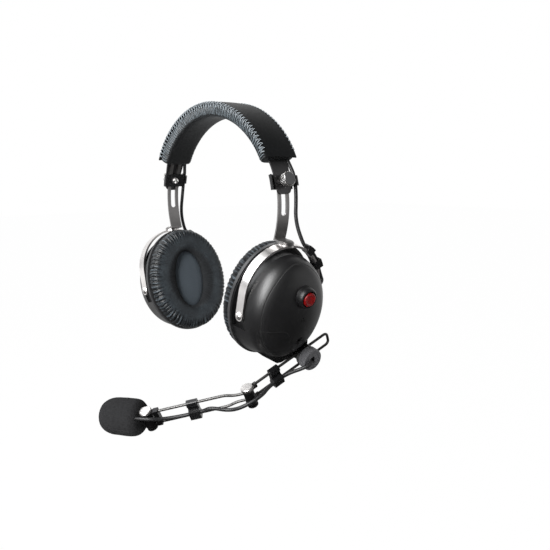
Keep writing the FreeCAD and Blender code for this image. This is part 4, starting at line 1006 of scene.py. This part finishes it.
def turnUp(name, place, axis, profile, hollow, steps=80):
    # Rings are drawn out along z from a circle, each at its distance and radius, and then laid on the axis
    clearSelection()
    along, radius = profile[0]
    bpy.ops.mesh.primitive_circle_add(vertices=steps, radius=radius, location=(0, 0, along))
    piece = bpy.context.object
    piece.name = name
    bpy.ops.object.mode_set(mode="EDIT")
    bpy.ops.mesh.select_all(action="SELECT")
    if not hollow:
        bpy.ops.mesh.edge_face_add()
        bpy.ops.mesh.select_all(action="DESELECT")
        bpy.ops.mesh.select_non_manifold()
    for nextAlong, nextRadius in profile[1:]:
        bpy.ops.mesh.extrude_edges_move(TRANSFORM_OT_translate={"value": (0, 0, nextAlong - along)})
        scale = nextRadius / radius
        bpy.ops.transform.resize(value=(scale, scale, 1), center_override=(0, 0, nextAlong))
        along, radius = nextAlong, nextRadius
    if hollow:
        bpy.ops.mesh.select_all(action="DESELECT")
        bpy.ops.mesh.select_non_manifold()
        bpy.ops.mesh.bridge_edge_loops()
    else:
        bpy.ops.mesh.edge_face_add()
    bpy.ops.mesh.select_all(action="SELECT")
    bpy.ops.mesh.normals_make_consistent(inside=False)
    bpy.ops.object.mode_set(mode="OBJECT")
    turned = Vector(axis).to_track_quat("Z", "Y").to_matrix().to_4x4()
    piece.matrix_world = Matrix.Translation(place) @ turned @ piece.matrix_world
    pick(piece)
    bpy.ops.object.transform_apply()
    smooth(piece, 38)
    return piece


button = {
    "back": 0.0025, "rise": 0.0168, "travel": 0.0015,
    # Distance out from the cup's frame, then radius
    "bezel": [
        (0.0245, 0.0103), (0.0255, 0.0103), (0.0256, 0.0091), (0.0316, 0.0091), (0.0328, 0.0089),
        (0.0342, 0.0084), (0.0351, 0.0078), (0.0355, 0.0073), (0.0355, 0.0068), (0.0351, 0.0065),
        (0.0346, 0.0063), (0.0340, 0.0062), (0.0297, 0.0062), (0.0296, 0.0070), (0.0245, 0.0070),
    ],
    "cap": [
        (0.0282, 0.0066), (0.0292, 0.0066), (0.0293, 0.0058), (0.0359, 0.0058), (0.0364, 0.0056),
        (0.0367, 0.0052), (0.0368, 0.0047), (0.0366, 0.0042), (0.0364, 0.0037), (0.0363, 0.0020),
        (0.0363, 0.0006),
    ],
}


def pushButton():
    place = cupPoint(1, 0, button["back"], button["rise"])
    bezel = turnUp("bezel_ring", place, outLeft, button["bezel"], hollow=True)
    dress(bezel, bezelPlastic)
    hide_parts("button_bezel")
    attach(bezel, "left_cup")
    cap = turnUp("red_cap", place, outLeft, button["cap"], hollow=False)
    dress(cap, capRed)
    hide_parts("button_cap")
    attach(cap, "button")
    # The spring's ends along the cup's direction are found, and the spring is given a mesh of its own
    spring = nodes["button_spring"]
    ends = [(corner - place).dot(outLeft) for corner in corners(spring)]
    low, high = min(ends), max(ends)
    tuple(place + low * outLeft)
    1 - button["travel"] / (high - low)
    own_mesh(spring)


pushButton()
print("button made")


# Finishes of the pieces that stay as the frame has them

mirrored = Matrix.Scale(-1, 4, (1, 0, 0))
clampTurn = math.radians(75.5)
clampOut = Vector((math.sin(clampTurn), 0, math.cos(clampTurn)))
clampMiddle = Vector((band["sideAcross"], 0, band["sideCentre"])) + band["sideRadius"] * clampOut
thumbFace = max((corner - clampMiddle).dot(clampOut) for corner in corners(nodes["left_thumbscrew"]))
thumbLeft = knurledSteel("thumb_steel_left", clampMiddle, clampOut, thumbFace)
thumbRight = knurledSteel("thumb_steel_right", mirrored @ clampMiddle, mirrored @ clampOut, thumbFace)

worn = {
    springSteel: ["spring_band"],
    strapSteel: ["left_slotted_arm", "right_slotted_arm", "left_swivel_rivet", "right_swivel_rivet"],
    brightSteel: ["left_yoke", "right_yoke"],
    wireSteel: ["boom_rear_wire", "boom_front_wires", "elbow_fork"],
    thumbLeft: ["left_thumbscrew"],
    thumbRight: ["right_thumbscrew"],
    screwSteel: ["left_pivot_screws", "right_pivot_screws", "clamp_nuts",
                 "elbow_screw", "mic_screw", "button_spring"],
    darkSteel: ["elbow_nut", "mic_nut", "mic_fork", "elbow_barrel", "mic_housing"],
    bezelPlastic: ["jack_socket"],
    driverSteel: ["left_speaker_driver", "right_speaker_driver"],
    flangePlastic: ["left_backplate", "right_backplate"],
    clipPlastic: ["clamp_plates", "left_yoke_clips", "right_yoke_clips", "rear_lead_clip", "front_lead_clip",
                  "boom_clamp", "boom_mount"],
    boardPlastic: ["switch_board"],
    knobPlastic: ["boom_knob"],
    shellLeft: ["left_cup_shell"],
    shellRight: ["right_cup_shell"],
}
for finish, names in worn.items():
    for name in names:
        piece = nodes[name]
        if not piece.data.materials:
            piece.data.materials.append(finish.material)
        for place in piece.material_slots:
            place.material = finish.material
print("frame pieces finished")


# Floor, light and background

studio = {
    "floor": -0.46, "floorSize": 12, "floorShown": 0.992, "fill": 0.12, "flagged": 0.05,
    "middle": (0.03, 0.037, -0.142),
    # Where a reflection turns from the dark cloth to white: along the floor, then round the sky
    "floorEdge": (-0.1, 0.9), "skyEdge": (0.05, 0.75),
    # Each lamp: right, up and toward the camera from the middle, then width, height, power and colour
    "lamps": {
        "key": ((-0.56, 0.42, 1.00), 0.40, 1.15, 33.0, (1.0, 1.0, 1.0)),
        "left": ((-1.10, 0.85, -0.05), 0.7, 1.1, 12.0, (0.96, 0.98, 1.0)),
        "lowLeft": ((-1.25, -0.25, -0.15), 0.9, 0.9, 1.5, (0.97, 0.98, 1.0)),
        "top": ((-0.35, 1.2, -0.8), 0.9, 0.6, 3.6, (1.0, 1.0, 1.0)),
        "right": ((1.20, 0.00, 0.25), 0.9, 1.7, 3.2, (1.0, 1.0, 1.0)),
    },
}


def plainFloor():
    clearSelection()
    bpy.ops.mesh.primitive_plane_add(size=studio["floorSize"], location=(0, 0, studio["floor"]))
    floor = bpy.context.object
    floor.name = "floor"
    finish = Finish("floor_pale")
    finish.set(Base_Color=tone(246, 246, 246), Roughness=0.9, Specular_IOR_Level=0.0)
    camera, glossy, through = (finish.ray(kind) for kind in ("Camera", "Glossy", "Transmission"))
    # Reflections see the pale floor behind the headset; in front of it stands dark cloth
    behind = finish.spread(finish.along(-viewBack), *studio["floorEdge"], studio["flagged"], 1.0)
    glow = {"Color": camera.most(behind), "Strength": 1.0}
    white = finish.node("ShaderNodeEmission", None, glow, "Emission")
    seen = camera * studio["floorShown"] + (glossy + through).most(0.0).least(1.0)
    both = finish.mixShader(seen, Level(finish, finish.shader.outputs[0]), white)
    finish.feed(finish.tree.nodes["Material Output"].inputs["Surface"], both)
    floor.data.materials.append(finish.material)


def lightUp():
    middle = Vector(studio["middle"])
    for name, (place, width, height, power, colour) in studio["lamps"].items():
        data = bpy.data.lights.new(name, "AREA")
        data.shape = "RECTANGLE"
        data.size, data.size_y = width, height
        data.energy = power
        data.color = colour
        lamp = show(name, data)
        lamp.location = middle + viewRight * place[0] + viewUp * place[1] + viewBack * place[2]
        lamp.rotation_mode = "QUATERNION"
        lamp.rotation_quaternion = (middle - lamp.location).to_track_quat("-Z", "Y")


def openSky():
    world = bpy.data.worlds.new("studio")
    bpy.context.scene.world = world
    world.use_nodes = True
    world.node_tree.nodes.clear()
    sky = Wiring(world.node_tree)
    camera, glossy, through = (sky.ray(kind) for kind in ("Camera", "Glossy", "Transmission"))
    # Reflections see white behind the headset and dark cloth on the camera's side
    side = sky.dot(sky.node("ShaderNodeTexCoord", output="Generated"), -viewBack)
    behind = sky.spread(side, *studio["skyEdge"], studio["flagged"], 1.0)
    white = (1, 1, 1, 1)
    glows = [(white, studio["fill"]), (behind, 1.0), (white, 1.0)]
    fill, reflected, shown = (
        sky.node("ShaderNodeBackground", None, {"Color": colour, "Strength": strength})
        for colour, strength in glows)
    unseen = sky.mixShader(glossy.most(through), fill, reflected)
    output = sky.tree.nodes.new("ShaderNodeOutputWorld")
    sky.feed(output.inputs["Surface"], sky.mixShader(camera, unseen, shown))


plainFloor()
lightUp()
openSky()
bpy.context.scene.view_settings.view_transform = "Standard"
clearSelection()
print("studio lit")
